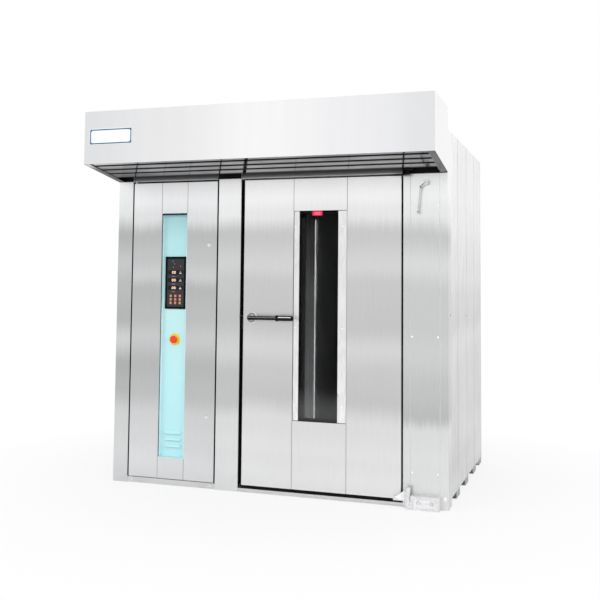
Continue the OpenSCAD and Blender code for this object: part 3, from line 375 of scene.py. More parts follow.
def brushedSteel(name, bands, tint=(1, 1, 1)):
    # brushed sheet with painted reflection bands over its height
    grain, roughness = 0.045, 0.33
    material, tree, shader = newMaterial(name)
    tone = paintedLightByHeight(tree, reflectionBands[bands], comb=0.09)
    streak = use(tree, grainUp, Coarse=160, Weight=0.25)
    lift = spread(tree, streak["Grain"], 0.3, 0.7, 1 - grain, 1 + grain * 0.6)
    worn = use(tree, smears, Size=2.4, Contrast=0.8)
    colour = mixColour(tree, 1.0, tone, (*tint, 1), "MULTIPLY")
    scaled = tree.nodes.new("ShaderNodeVectorMath")
    scaled.operation = "SCALE"
    tree.links.new(colour, scaled.inputs[0])
    tree.links.new(lift, scaled.inputs["Scale"])
    sheen = maths(tree, "ADD", streak["Grain"], maths(tree, "MULTIPLY", worn["Mask"], 0.3))
    rough = spread(tree, sheen, 0.3, 1.1, roughness - 0.06, roughness + 0.1)
    dress(tree, shader, scaled.outputs[0], rough, 1)
    bumpFrom(tree, shader, streak["Bump"], 0.05)
    return material


doorSteel = brushedSteel("doorSteel", "door")
serviceSteel = brushedSteel("serviceSteel", "service", (0.985, 0.99, 1.0))
pillarSteel = brushedSteel("pillarSteel", "pillar", (0.99, 0.995, 1.0))
leftPillarSteel = brushedSteel("leftPillarSteel", "leftPillar", (0.985, 0.993, 1.0))
coverSteel = brushedSteel("coverSteel", "cover", (0.99, 0.995, 1.0))


def hoodSheet(name, lift=0.0):
    # bright satin sheet with painted light across it: palest right of the middle of the front, slightly cool
    # at both ends; lift carries the whole sheet toward white as painted light
    material, tree, shader = newMaterial(name)
    share = spread(tree, placeOf(tree)["X"], hoodLow.x, hoodHigh.x, 0, 1)
    tone = ramp(tree, share, [(0.0, seen(230, 231, 233)), (0.25, seen(240, 240, 241)),
                              (0.55, seen(253, 253, 253)), (0.8, seen(245, 245, 247)),
                              (1.0, seen(234, 235, 237))])
    streak = use(tree, grainUp, Fine=700, Coarse=24, Weight=0.6)
    dull = spread(tree, streak["Grain"], 0.35, 0.65, 0, 0.04)
    tone = mixColour(tree, lift, tone, (1, 1, 1, 1))
    colour = mixColour(tree, dull, tone, (0.62, 0.63, 0.65, 1))
    dress(tree, shader, colour, spread(tree, streak["Grain"], 0.3, 0.7, 0.3, 0.4), 1)
    bumpFrom(tree, shader, streak["Bump"], 0.04)
    return material


def shadeAbove(material, height):
    # painted shade: the sheet is painted near black above this height, under the hood, but not on its outer
    # side
    tree = material.node_tree
    shader = tree.nodes["Principled BSDF"]
    unshaded = shader.inputs["Base Color"].links[0].from_socket
    place = placeOf(tree)
    above = maths(tree, "MULTIPLY", spread(tree, place["Z"], height, height + 0.004, 0, 1),
                  maths(tree, "LESS_THAN", place["X"], hoodHigh.x - 0.004))
    tree.links.new(mixColour(tree, above, unshaded, seen(14, 14, 14)), shader.inputs["Base Color"])
    tree.links.new(maths(tree, "SUBTRACT", 1, above), shader.inputs["Metallic"])
    shader.inputs["Specular IOR Level"].default_value = 0.05


# painted shade on the right pillar and its cover above the header's lower edge
shadeAbove(coverSteel, underHeader)

# slats under the hood: middle of the first gap and pitch, along the slope from the front; the cosine of the
# slope; painted shadow and plain border at the ends, from the hood's outer sides
slats = {"first": 0.0446, "pitch": 0.088, "halfGap": 0.011, "gapShade": 0.014, "slope": 0.9893,
         "joint": (0.036, 0.060), "border": 0.040}


def grilleSheet():
    # polished slats under the hood: cloudy, with painted shade beside the gaps and at the ends, and a painted
    # highlight in the front left corner
    material, tree, shader = newMaterial("grilleSheet")
    fog = use(tree, smears, Size=4, Contrast=1.1)
    streak = noise(tree, stretched(tree, (0.5, 14, 14)), 5, 4)
    cloud = maths(tree, "MULTIPLY_ADD", streak, 0.45, maths(tree, "MULTIPLY", fog["Mask"], 0.55))
    tone = ramp(tree, cloud, [(0.2, seen(80, 80, 82)), (0.5, seen(114, 114, 116)),
                              (0.85, seen(148, 148, 150))])
    place = placeOf(tree)
    fromFront = maths(tree, "SUBTRACT", place["Y"], hoodLow.y)
    slope = maths(tree, "DIVIDE", fromFront, slats["slope"])
    # painted highlight at the left end of the front slat
    leftHighlight = maths(tree, "MULTIPLY", spread(tree, place["X"], -1.05, -0.6, 0.85, 0),
                    spread(tree, slope, 0.02, 0.10, 1, 0))
    tone = mixColour(tree, leftHighlight, tone, seen(216, 216, 218))
    # painted shade at the left end of the slats behind it
    leftRearShade = maths(tree, "MULTIPLY", spread(tree, place["X"], -1.0, -0.7, 0.72, 0),
                spread(tree, slope, 0.06, 0.14, 0, 1))
    tone = mixColour(tree, leftRearShade, tone, seen(44, 44, 46))
    # painted shade on both sides of each gap, up to the borders
    fromGap = maths(tree, "ADD", slope, slats["pitch"] * 2 - slats["first"])
    away = maths(tree, "PINGPONG", fromGap, slats["pitch"] / 2)
    reach = slats["halfGap"] + slats["gapShade"]
    gapShade = spread(tree, away, slats["halfGap"] + 0.001, reach, 0.92, 0)
    inside = maths(tree, "LESS_THAN", maths(tree, "ABSOLUTE", place["X"]), hoodHigh.x - slats["border"])
    # painted shadow along the left border, painted shade where the rear slat meets it, and painted shade on
    # the right border
    fromLeft = maths(tree, "SUBTRACT", place["X"], hoodLow.x)
    borderShadowStart, borderShadowEnd = slats["joint"]
    joint = maths(tree, "MULTIPLY", maths(tree, "GREATER_THAN", fromLeft, borderShadowStart),
                  maths(tree, "LESS_THAN", fromLeft, borderShadowEnd))
    rear = maths(tree, "MULTIPLY", spread(tree, slope, 0.21, 0.26, 0, 0.65),
                 spread(tree, fromLeft, 0.25, 0.75, 1, 0))
    atRight = maths(tree, "GREATER_THAN", place["X"], hoodHigh.x - slats["border"] + 0.001)
    rightShade = maths(tree, "MULTIPLY", atRight, 0.42)
    dark = maths(tree, "MULTIPLY", gapShade, inside)
    for other in (joint, rear, rightShade, maths(tree, "MULTIPLY", leftRearShade, 0.7)):
        dark = maths(tree, "MAXIMUM", dark, other)
    # the painted shade is no metal, so it stays dark at a flat angle
    dress(tree, shader, mixColour(tree, dark, tone, seen(12, 12, 12)),
          spread(tree, fog["Mask"], 0, 1, 0.05, 0.14), maths(tree, "SUBTRACT", 1, dark))
    shader.inputs["Specular IOR Level"].default_value = 0.02
    bumpFrom(tree, shader, streak, 0.1, 0.002)
    return material


def shadeSheet(name, pale, dark):
    # near-black sheet of painted shade, mottled by smears
    material, tree, shader = newMaterial(name)
    fog = use(tree, smears, Size=7, Contrast=1.3)
    dress(tree, shader, mixColour(tree, fog["Mask"], pale, dark), spread(tree, fog["Mask"], 0, 1, 0.45, 0.7))
    shader.inputs["Specular IOR Level"].default_value = 0.15
    return material


def headerSheet():
    # polished header above the doors, with painted light along its lower edge and painted shade inside the
    # hood
    material, tree, shader = newMaterial("headerSheet")
    streak = noise(tree, stretched(tree, (0.6, 1, 12)), 6, 3)
    height = maths(tree, "MULTIPLY_ADD", streak, 0.004, placeOf(tree)["Z"])
    share = spread(tree, height, underHeader, underHeader + 0.06, 0, 1)
    tone = ramp(tree, share, [(0.0, seen(240, 240, 241)), (0.14, seen(214, 214, 215)),
                              (0.24, seen(128, 128, 130)), (0.5, seen(88, 88, 90)),
                              (0.8, seen(48, 48, 50)), (1.0, seen(30, 30, 32))])
    dress(tree, shader, tone, spread(tree, streak, 0.3, 0.7, 0.3, 0.42), 0.3)
    bumpFrom(tree, shader, streak, 0.1)
    return material


# upright seams of the side sheets: pitch from the front, half the line's width, reach of its shade
sideSeams = {"pitch": 1.467 / 4, "line": 0.0035, "shade": 0.05}


def filmedSheet(name, low, high, seams=True):
    # side and rear sheets under their protective film, with upright creases; painted light in bands over
    # their height and painted shade following the creases
    material, tree, shader = newMaterial(name)
    fold = use(tree, creases, Width=13, Length=0.5)
    fog = use(tree, smears, Size=1.6, Contrast=1)
    tone = paintedLightByHeight(tree, [(0.1, 246), (0.27, 226), (0.5, 216), (0.72, 220), (0.93, 227), (1.04, 216),
                             (1.17, 221), (1.32, 237), (1.5, 242), (1.65, 250), (1.83, 255)])
    # painted shade along the creases, from their height
    crease = maths(tree, "MULTIPLY", fold["Height"], 0.6)
    share = maths(tree, "MULTIPLY_ADD", fog["Mask"], 0.3, crease, clamp=True)
    colour = mixColour(tree, 1.0, tone, mixColour(tree, share, low, high), "MULTIPLY")
    # painted shade beside each seam, with a dark line along it
    if seams:
        depth = maths(tree, "SUBTRACT", placeOf(tree)["Y"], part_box("right_pillar")[0].y)
        away = maths(tree, "PINGPONG", depth, sideSeams["pitch"] / 2)
        soft = spread(tree, away, 0, sideSeams["shade"], 0.14, 0)
        line = spread(tree, away, sideSeams["line"] * 0.6, sideSeams["line"], 0.6, 0)
        colour = mixColour(tree, maths(tree, "MAXIMUM", soft, line), colour, (0.2, 0.2, 0.21, 1))
    dress(tree, shader, colour, spread(tree, fold["Tone"], 0.3, 0.7, 0.3, 0.5), 0.55)
    shader.inputs["Coat Weight"].default_value = 0.25
    bumpFrom(tree, shader, fold["Height"], 0.5, 0.005)
    return material


def shaded(tone, share):
    return tuple(c * share for c in tone[:3]) + (1,)


def satinSteel(name, tone, roughness):
    # plain satin sheet or machined steel with smears
    material, tree, shader = newMaterial(name)
    fog = use(tree, smears, Size=6, Contrast=1)
    streak = use(tree, grainUp, Fine=500, Coarse=50, Weight=0.5)
    blend = maths(tree, "MULTIPLY", maths(tree, "ADD", fog["Mask"], streak["Grain"]), 0.5)
    dress(tree, shader, mixColour(tree, blend, tone, shaded(tone, 0.78)),
          spread(tree, fog["Mask"], 0, 1, roughness - 0.07, roughness + 0.08), 1)
    bumpFrom(tree, shader, streak["Bump"], 0.1)
    return material


def polished(name, tone, roughness):
    # bright metal with faint finger marks
    material, tree, shader = newMaterial(name)
    prints = noise(tree, stretched(tree), 45, 6, 0.6)
    dress(tree, shader, mixColour(tree, spread(tree, prints, 0.4, 0.7, 0, 1), tone, shaded(tone, 0.8)),
          spread(tree, prints, 0.35, 0.7, roughness, roughness + 0.14), 1)
    bumpFrom(tree, shader, prints, 0.03)
    return material


def paint(name, tone, roughness, peel, peelBump, coat, worn=None):
    # paint or powder coat with orange peel, slightly darker in patches, and worn edges where asked
    material, tree, shader = newMaterial(name)
    skin = noise(tree, stretched(tree), peel, 2)
    fog = use(tree, smears, Size=3.5, Contrast=0.9)
    colour = mixColour(tree, fog["Mask"], tone, shaded(tone, 0.93))
    if worn:
        mask = use(tree, wearMask, Patchiness=60)
        colour = mixColour(tree, mask["Mask"], colour, worn)
    dress(tree, shader, colour, spread(tree, fog["Mask"], 0, 1, roughness, roughness + 0.1))
    shader.inputs["Coat Weight"].default_value = coat
    shader.inputs["Coat Roughness"].default_value = 0.15
    bumpFrom(tree, shader, skin, peelBump)
    return material


def moulded(name, tone, roughness=0.45, texture=900, bump=0.15, gloss=0.5):
    # moulded plastic with a fine spark-eroded skin
    material, tree, shader = newMaterial(name)
    skin = noise(tree, stretched(tree), texture, 2)
    fog = use(tree, smears, Size=9, Contrast=1)
    pale = tuple(min(1, c * 1.25 + 0.004) for c in tone[:3]) + (1,)
    dress(tree, shader, mixColour(tree, maths(tree, "MULTIPLY", fog["Mask"], 0.6), tone, pale),
          spread(tree, skin, 0.3, 0.7, roughness - 0.06, roughness + 0.08))
    shader.inputs["Specular IOR Level"].default_value = gloss
    bumpFrom(tree, shader, skin, bump, 0.0005)
    return material


def lit(name, tone, glow, strength):
    # a lit window or key: its own colour, with light from behind that is a little uneven
    material, tree, shader = newMaterial(name)
    spots = noise(tree, stretched(tree), 160, 2)
    dress(tree, shader, mixColour(tree, spread(tree, spots, 0.4, 0.6, 0, 1), tone, glow),
          spread(tree, spots, 0.3, 0.7, 0.3, 0.4))
    light = mixColour(tree, spread(tree, spots, 0.35, 0.65, 0, 1), glow, tone)
    tree.links.new(light, shader.inputs["Emission Color"])
    shader.inputs["Emission Strength"].default_value = strength
    return material


def tintedGlass():
    # grey glass with dust, and a deeper tint with a painted glow along its lower end
    material, tree, shader = newMaterial("tintedGlass")
    dust = use(tree, smears, Size=7, Contrast=1)
    tint = mixColour(tree, dust["Mask"], (0.38, 0.385, 0.39, 1), (0.44, 0.445, 0.45, 1))
    height = maths(tree, "MULTIPLY_ADD", maths(tree, "SUBTRACT", dust["Mask"], 0.5), 0.05, placeOf(tree)["Z"])
    lowerGlow = spread(tree, height, 0.52, 0.64, 1, 0)
    # along the lower end a deeper tint with a faint painted glow of its own, so that transmission stays a
    # plain value
    dress(tree, shader, mixColour(tree, lowerGlow, tint, (0.35, 0.355, 0.36, 1)),
          spread(tree, dust["Mask"], 0, 1, 0.0, 0.02))
    light = mixColour(tree, lowerGlow, (0, 0, 0, 1), (0.026, 0.026, 0.026, 1))
    tree.links.new(light, shader.inputs["Emission Color"])
    shader.inputs["Emission Strength"].default_value = 1
    shader.inputs["Transmission Weight"].default_value = 1
    shader.inputs["IOR"].default_value = 1.12
    return material


def clearFilm():
    # trims under a milky film with diagonal creases; painted light over their height and painted shade along
    # the creases
    material, tree, shader = newMaterial("clearFilm")
    fold = use(tree, creases, Width=26, Length=1.6)
    fog = use(tree, smears, Size=5, Contrast=1)
    tone = paintedLightByHeight(tree, [(0.4, 238), (0.8, 226), (1.1, 223), (1.4, 220), (1.7, 236)])
    crease = maths(tree, "MULTIPLY", fold["Height"], 0.5, clamp=True)
    dress(tree, shader, mixColour(tree, crease, tone, seen(204, 205, 208)),
          spread(tree, fog["Mask"], 0, 1, 0.22, 0.42), 0.35)
    bumpFrom(tree, shader, fold["Height"], 0.4, 0.002)
    return material


def castIron(name, tone, rough):
    # rough metal with brown patches
    material, tree, shader = newMaterial(name)
    skin = noise(tree, stretched(tree), 120, 5, 0.65)
    rust = use(tree, smears, Size=8, Contrast=1.4)
    brown = (tone[0] * 1.25, tone[1] * 0.95, tone[2] * 0.75, 1)
    dress(tree, shader, mixColour(tree, maths(tree, "MULTIPLY", rust["Mask"], 0.7), tone, brown),
          spread(tree, skin, 0.3, 0.7, rough - 0.1, rough + 0.15), 0.7)
    bumpFrom(tree, shader, skin, 0.3)
    return material


def recessPaint(name, lift=0.0):
    # turquoise powder coat with painted shade: deeper at the top and pale toward the louvres; lift carries it
    # toward white as painted light
    material, tree, shader = newMaterial(name)
    share = spread(tree, placeOf(tree)["Z"], 0.17, 1.70, 0, 1)
    tone = ramp(tree, share, [(0.0, seen(188, 236, 241)), (0.2, seen(186, 234, 239)),
                              (0.42, seen(189, 232, 235)), (0.62, seen(190, 229, 230)),
                              (0.88, seen(178, 224, 227)), (1.0, seen(166, 212, 217))])
    skin = noise(tree, stretched(tree), 260, 2)
    fog = use(tree, smears, Size=3, Contrast=0.8)
    patch = mixColour(tree, maths(tree, "MULTIPLY", fog["Mask"], 0.15), tone, seen(172, 222, 227))
    dress(tree, shader, mixColour(tree, lift, patch, (1, 1, 1, 1)), spread(tree, skin, 0.3, 0.7, 0.34, 0.46))
    shader.inputs["Coat Weight"].default_value = 0.2
    bumpFrom(tree, shader, skin, 0.05)
    return material


hoodSteel = hoodSheet("hoodSteel")
# the hood's sides take a lighter copy of its sheet as painted light
hoodSideLit = hoodSheet("hoodSideLit", 0.8)
# painted shade inside the hood
hoodInside = shadeSheet("hoodInside", seen(14, 14, 14), seen(6, 6, 6))
grilleSteel = grilleSheet()
headerSteel = headerSheet()
sideFilm = filmedSheet("sideFilm", (0.80, 0.80, 0.81, 1), (1, 1, 1, 1))
rearSheet = filmedSheet("rearSheet", (0.86, 0.86, 0.87, 1), (0.94, 0.94, 0.95, 1), seams=False)
liningSteel = satinSteel("liningSteel", seen(128, 128, 129), 0.38)
trayGrey = satinSteel("trayGrey", seen(150, 150, 150), 0.5)
frameSteel = satinSteel("frameSteel", seen(205, 205, 206), 0.35)
sillSteel = satinSteel("sillSteel", seen(244, 244, 245), 0.36)
plateSteel = satinSteel("plateSteel", seen(214, 215, 217), 0.3)
# near black as painted shade, where the upper hinges lie in shade
hingeShade = moulded("hingeShade", seen(22, 22, 23), 0.6, gloss=0.04)
galvanised = satinSteel("galvanised", seen(206, 208, 211), 0.42)
# the handle's arm and the rosette's front take darker copies of chrome as painted reflection, and the
# handle's underside a near-black copy as painted shade
chromeBright = polished("chromeBright", seen(216, 217, 219), 0.06)
chromeHandle = polished("chromeHandle", seen(134, 135, 138), 0.12)
chromeDarkReflection = polished("chromeDarkReflection", seen(150, 151, 154), 0.16)
chromeShade = polished("chromeShade", seen(38, 38, 40), 0.2)
lockSteel = polished("lockSteel", seen(240, 240, 242), 0.2)
# white paint, real on the screws, and a painted highlight on the rosette's rim, the recess's lip and the
# grip's strip
screwWhiteAndHighlight = paint("screwWhiteAndHighlight", seen(255, 255, 255), 0.3, 200, 0.05, 0.3)
seamShade = satinSteel("seamShade", seen(150, 150, 152), 0.5)
leverSteel = polished("leverSteel", seen(156, 156, 159), 0.25)
hingePaint = paint("hingePaint", seen(254, 254, 255), 0.4, 150, 0.1, 0.2, seen(176, 176, 178))
motorPaint = paint("motorPaint", seen(86, 104, 122), 0.4, 130, 0.2, 0.4, seen(150, 154, 158))
recessTurquoise = recessPaint("recessTurquoise")
# the recess's left wall takes a lighter copy of the turquoise as painted light
recessSide = recessPaint("recessSide", 0.6)
blackMoulded = moulded("blackMoulded", seen(18, 20, 21), 0.42, gloss=0.2)
bezelMoulded = moulded("bezelMoulded", seen(2, 16, 22), 0.4, gloss=0.05)
gripMoulded = moulded("gripMoulded", seen(12, 12, 13), 0.3, 600, 0.15, gloss=0.15)
sealantAndShade = moulded("sealantAndShade", seen(206, 207, 209), 0.5)
faceFilm = moulded("faceFilm", seen(56, 53, 55), 0.5, 1500, 0.08, gloss=0.12)
windowFilm = moulded("windowFilm", seen(24, 23, 24), 0.3, 1500, 0.03, gloss=0.12)
electricPlastic = moulded("electricPlastic", seen(214, 214, 210), 0.4)
yellowMoulded = moulded("yellowMoulded", seen(240, 200, 48), 0.35, 800, 0.06)
redMoulded = moulded("redMoulded", seen(220, 58, 32), 0.3, 800, 0.04, gloss=0.35)
# black rubber, real on the door seal and gaskets, and painted shade round the window, in the recess, in the
# bolt holes and on top of the door core
rubberAndShadeBlack = moulded("rubberAndShadeBlack", seen(10, 10, 11), 0.65, 500, 0.2, gloss=0.12)
fanIron = castIron("fanIron", seen(92, 92, 94), 0.5)
steamIron = castIron("steamIron", seen(70, 68, 67), 0.65)
footIron = castIron("footIron", seen(120, 120, 122), 0.45)
elementSteel = castIron("elementSteel", seen(104, 96, 90), 0.4)
paneGlass = tintedGlass()
trimFilm = clearFilm()
lampGlass = lit("lampGlass", (0.62, 0.62, 0.60, 1), (0.9, 0.9, 0.88, 1), 0.05)
# a glow of painted light on the corner lip, which is no lamp
stripPaintedGlint = lit("stripPaintedGlint", (0.95, 0.94, 0.92, 1), (1, 0.99, 0.97, 1), 3.2)
digitOrange = lit("digitOrange", seen(255, 214, 184), seen(255, 206, 168), 1.1)
keyOrange = lit("keyOrange", seen(166, 112, 86), seen(208, 146, 110), 0.2)
iconPale = lit("iconPale", seen(176, 172, 174), seen(206, 202, 204), 0.3)
iconFaint = lit("iconFaint", seen(104, 104, 114), seen(132, 130, 140), 0.35)
redLit = lit("redLit", seen(206, 16, 58), seen(228, 24, 70), 0.55)
redDigit = lit("redDigit", seen(255, 120, 150), seen(255, 140, 165), 0.7)

nodeLooks = {
    "door_outer_shell": doorSteel, "door_core": liningSteel, "door_panes": paneGlass,
    "window_trims": trimFilm, "trim_screws": screwWhiteAndHighlight, "door_seal": rubberAndShadeBlack,
    "door_lower_hinge": hingePaint, "door_upper_hinge": hingeShade, "hinge_block": hingePaint,
    "upper_hinge_plate": hingeShade, "handle_rosette": chromeBright, "door_handle": chromeHandle,
    "handle_grip": gripMoulded, "latch_bolt": plateSteel, "strike_plates": plateSteel,
    "service_door_shell": serviceSteel, "recess_panel": recessTurquoise, "control_housing": bezelMoulded,
    "control_face": faceFilm, "estop_collar": yellowMoulded, "estop_stem": blackMoulded,
    "estop_head": redMoulded, "upper_lock": lockSteel, "lower_lock": lockSteel,
    "left_pillar": leftPillarSteel, "centre_pillar": pillarSteel, "right_pillar": coverSteel,
    "right_pillar_cover": coverSteel, "casing_screws": screwWhiteAndHighlight, "header_panels": headerSteel,
    "threshold": sillSteel, "kick_plate": sillSteel, "mouth_frame": frameSteel, "floor_deck": plateSteel,
    "levelling_feet": galvanised, "left_wall": sideFilm, "right_wall": sideFilm, "back_wall": rearSheet,
    "roof_panels": rearSheet, "partition_wall": liningSteel, "bulkhead": plateSteel,
    "ceiling_plate": liningSteel, "air_duct_panel": liningSteel, "chamber_floor": liningSteel,
    "exhaust_duct": plateSteel, "damper_lever": chromeBright, "heater_bank": elementSteel,
    "steam_generator": steamIron, "electrics_plate": electricPlastic, "chamber_lamp": lampGlass,
    "hood_shell": hoodSteel, "hood_grille": grilleSteel, "hood_outlet": plateSteel, "hood_fan": fanIron,
    "rotation_gearmotor": motorPaint, "shaft_bearing": footIron, "rotation_shaft": plateSteel,
    "rack_carrier": plateSteel, "circulation_fan": plateSteel, "fan_motor": motorPaint,
}
for name, material in nodeLooks.items():
    mesh = nodes[name].data
    mesh.materials.clear()
    mesh.materials.append(material)


def lookOfFaces(node, material, test):
    # the faces of a node that pass the test take another material
    mesh = nodes[node].data
    mesh.materials.append(material)
    index = len(mesh.materials) - 1
    low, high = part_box(node)
    for face in mesh.polygons:
        if test([mesh.vertices[i].co for i in face.vertices], face.normal, low, high):
            face.material_index = index


def liesAt(corners, axis, value):
    return all(abs(c[axis] - value) < 0.0002 for c in corners)


def insideHood(corners, normal, low, high):
    outer = (liesAt(corners, 0, low.x), liesAt(corners, 0, high.x), liesAt(corners, 1, low.y),
             liesAt(corners, 1, high.y), liesAt(corners, 2, high.z))
    return not any(outer)


def hoodSide(corners, normal, low, high):
    return abs(normal.x) > 0.99 and (liesAt(corners, 0, low.x) or liesAt(corners, 0, high.x))


def setBack(depth):
    # front faces that lie this far behind the node's own front
    return lambda corners, normal, low, high: normal.y < -0.9 and liesAt(corners, 1, low.y + depth)


def leverStem(corners, normal, low, high):
    # the damper lever's stem, below its boss
    return min(c.z for c in corners) > low.z + 0.140 and max(c.x for c in corners) < high.x - 0.026


def inBolthole(y, z):
    # faces of a blind bolt hole in a side sheet
    return lambda corners, normal, low, high: all(
        abs(c.y - y) < holeReach and abs(c.z - z) < holeReach for c in corners)


def turned(test):
    # faces whose normal passes the test
    return lambda corners, normal, low, high: test(normal)


# painted shade on the hood's inner faces
lookOfFaces("hood_shell", hoodInside, insideHood)
# painted light on the hood's sides
lookOfFaces("hood_shell", hoodSideLit, hoodSide)
lookOfFaces("door_outer_shell", seamShade, setBack(0.0015))
lookOfFaces("service_door_shell", seamShade, setBack(0.001))
lookOfFaces("damper_lever", leverSteel, leverStem)
# painted shade on the handle's underside, painted reflection on the rosette's front, a painted highlight on
# its rim
lookOfFaces("door_handle", chromeShade, turned(lambda n: n.z < 0.02))
lookOfFaces("handle_rosette", chromeDarkReflection, turned(lambda n: n.y < -0.9))
lookOfFaces("handle_rosette", screwWhiteAndHighlight, turned(lambda n: -0.9 <= n.y < -0.1))
# the bolt holes painted black as their shade
for node, (y, z) in boltHoles.items():
    lookOfFaces(node, rubberAndShadeBlack, inBolthole(y, z))
# painted shade on the grille's faces that don't face down
lookOfFaces("hood_grille", hoodInside, turned(lambda n: n.z > -0.9))
lookOfFaces("chamber_lamp", trayGrey, turned(lambda n: abs(n.x) > 0.99 or abs(n.z) > 0.99))
# painted light on the recess's left wall
lookOfFaces("recess_panel", recessSide, turned(lambda n: n.x > 0.99))
# painted shade on top of the door core, in the gap above the door
lookOfFaces("door_core", rubberAndShadeBlack, turned(lambda n: n.z > 0.99))
lookOfFaces("control_face", windowFilm,
            lambda corners, normal, low, high: normal.y < -0.9 and liesAt(corners, 1, high.y - windowDepth))
print("materials on", len(nodeLooks), "nodes")

# badge on the hood

badge = {"low": (-1.034, 2.089), "high": (-0.744, 2.187), "thick": 0.003, "corner": 0.022, "border": 0.0075}
badgeWhite = paint("badgeWhite", seen(236, 239, 241), 0.3, 300, 0.03, 0.2)
badgeBlue = paint("badgeBlue", seen(24, 92, 124), 0.3, 300, 0.03, 0.2)


def makeBadge():
    # a bare white plate with a coloured border
    (x0, z0), (x1, z1) = badge["low"], badge["high"]
    border = badge["border"]
    plate = addBlock("badge_plate", (x0, hoodLow.y - badge["thick"], z0), (x1, hoodLow.y, z1))
    roundCorners(plate, "Y", badge["corner"])
    insetFaces(plate, facesFront, (border * 0.5, 0), (border, 0), (border * 0.3, -0.0004))
    softEdges(plate, 0.0005)
    fit(plate, "casing", "hinge_paint", badgeWhite, badgeBlue)
    for face in plate.data.polygons:
        c = face.center
        fromEdge = min(c.x - x0, x1 - c.x, c.z - z0, z1 - c.z)
        if face.normal.y < -0.9 and border * 0.4 < fromEdge < border * 1.6:
            face.material_index = 1


makeBadge()
print("badge plate done")

# readouts and keys of the control unit

control = {"digit": 0.0120, "aspect": 0.72, "stroke": 0.0022, "rise": 0.0007, "gap": 1.75,
           "rows": (1.327, 1.278, 1.229), "markDrop": 0.005, "markWidth": 0.016, "markHeight": 0.006,
           "lamp": 0.0032, "firstLamp": (-0.020, 1.3985), "key": 0.0155, "keyPitch": (0.032, 0.022),
           "keyRow": 1.134}
# the six bars of a zero: places in half widths and half heights, and whether the bar stands
segmentPlaces = ((0, 1, 0), (1, 0.5, 1), (1, -0.5, 1), (0, -1, 0), (-1, -0.5, 1), (-1, 0.5, 1))


def makeZeros(name, count, centre, height, width, stroke, frontY, rise, gap):
    # a row of plain zeros; one bar is modelled and copied
    bars = []
    bar = addBlock("bar", (-0.5, -1, -0.5), (0.5, 0, 0.5))
    pickFaces(bar, lambda c, n: abs(n.x) > 0.9)
    bpy.ops.mesh.subdivide(number_cuts=1)
    bpy.ops.mesh.select_all(action="DESELECT")
    mesh = bmesh.from_edit_mesh(bar.data)
    # pulls in the corners, so that the ends come to a blunt point
    for v in mesh.verts:
        if abs(abs(v.co.x) - 0.5) < 1e-4 and abs(abs(v.co.z) - 0.5) < 1e-4:
            v.co.x *= 0.72
    bmesh.update_edit_mesh(bar.data)
    setMode("OBJECT")
    for i in range(count):
        cx = centre[0] + (i - (count - 1) / 2) * width * gap
        for dx, dz, upright in segmentPlaces:
            length = (height / 2 if upright else width) * 0.96
            place = Matrix.Translation((cx + dx * width / 2, frontY, centre[1] + dz * height / 2))
            turn = Matrix.Rotation(math.pi / 2, 4, "Y") if upright else Matrix.Identity(4)
            size = Matrix.Diagonal((length, rise, stroke, 1))
            copy = copyTo(bar, "bar." + name, (0, 0, 0))
            copy.data.transform(place @ turn @ size)
            bars.append(copy)
    bpy.data.objects.remove(bar)
    return joinAll(bars, name)


def makeControls():
    low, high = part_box("control_face")
    front = high.y - windowDepth
    cx = (low.x + high.x) / 2
    size = control["digit"]
    for i, z in enumerate(control["rows"]):
        digits = makeZeros("readout_%d" % (i + 1), 2, (cx - 0.013, z), size, size * control["aspect"],
                           control["stroke"], front, control["rise"], control["gap"])
        fit(digits, "service_door", "control_face", digitOrange)
    # small plain marks beside each readout: a narrow bar over a wide one
    markX, halfMark, capLift = cx + 0.033, control["markHeight"] / 2, 0.0090
    for i, row in enumerate(control["rows"]):
        z = row - control["markDrop"]
        mark = addBlock("mark", (markX - control["markWidth"] / 2, front - 0.0008, z - halfMark),
                        (markX + control["markWidth"] / 2, front, z + halfMark))
        roundCorners(mark, "Y", 0.0015, 3)
        insetFaces(mark, facesFront, (0.0016, -0.0004))
        cap = copyTo(mark, "cap", (0, 0, capLift))
        middle = Matrix.Translation((markX, 0, z + capLift))
        cap.data.transform(middle @ Matrix.Diagonal((0.55, 1, 0.5, 1)) @ middle.inverted())
        fit(joinAll([mark, cap], "mark_%d" % (i + 1)), "service_door", "control_face", iconPale)
    # faint lamps above and beside the readouts
    lampX, lampZ = control["firstLamp"]
    first = addDisc("lamp", (cx + lampX, front - 0.0004, lampZ), control["lamp"], 0.0008, "Y", 20)
    insetFaces(first, facesFront, (0.0009, -0.0003))
    lamps = [copyTo(first, "lamp", (dx, 0, dz))
             for dx, dz in ((0, 0), (0.010, -0.017), (0.003, -0.039), (0.053, -0.032), (0.053, -0.066),
                            (0.053, -0.115))]
    bpy.data.objects.remove(first)
    # short bars between the readouts
    for z in control["rows"]:
        bar = addBlock("bar", (cx - 0.027, front - 0.0006, z - 0.0265), (cx - 0.002, front, z - 0.0235))
        insetFaces(bar, facesFront, (0.0006, -0.0002))
        lamps.append(bar)
    fit(joinAll(lamps, "status_lamps"), "service_door", "control_face", iconFaint)
    # nine lit keys over the pads
    pitchX, pitchZ = control["keyPitch"]
    pads = [(cx + (i - 1) * pitchX, control["keyRow"] + j * pitchZ) for i in range(3) for j in range(3)]
    half = control["key"] / 2
    first = addBlock("key", (-half * 0.92, -0.0012, -half), (half * 0.92, 0, half))
    roundCorners(first, "Y", half * 0.45, 4)
    insetFaces(first, facesFront, (half * 0.2, 0.0004), (half * 0.25, -0.0003))
    softEdges(first, 0.0002, 1)
    keys = [copyTo(first, "key", (x, low.y, z)) for x, z in pads]
    bpy.data.objects.remove(first)
    fit(joinAll(keys, "lit_keys"), "service_door", "control_face", keyOrange)


makeControls()
print("control unit dressed")

# red display on the top of the glass

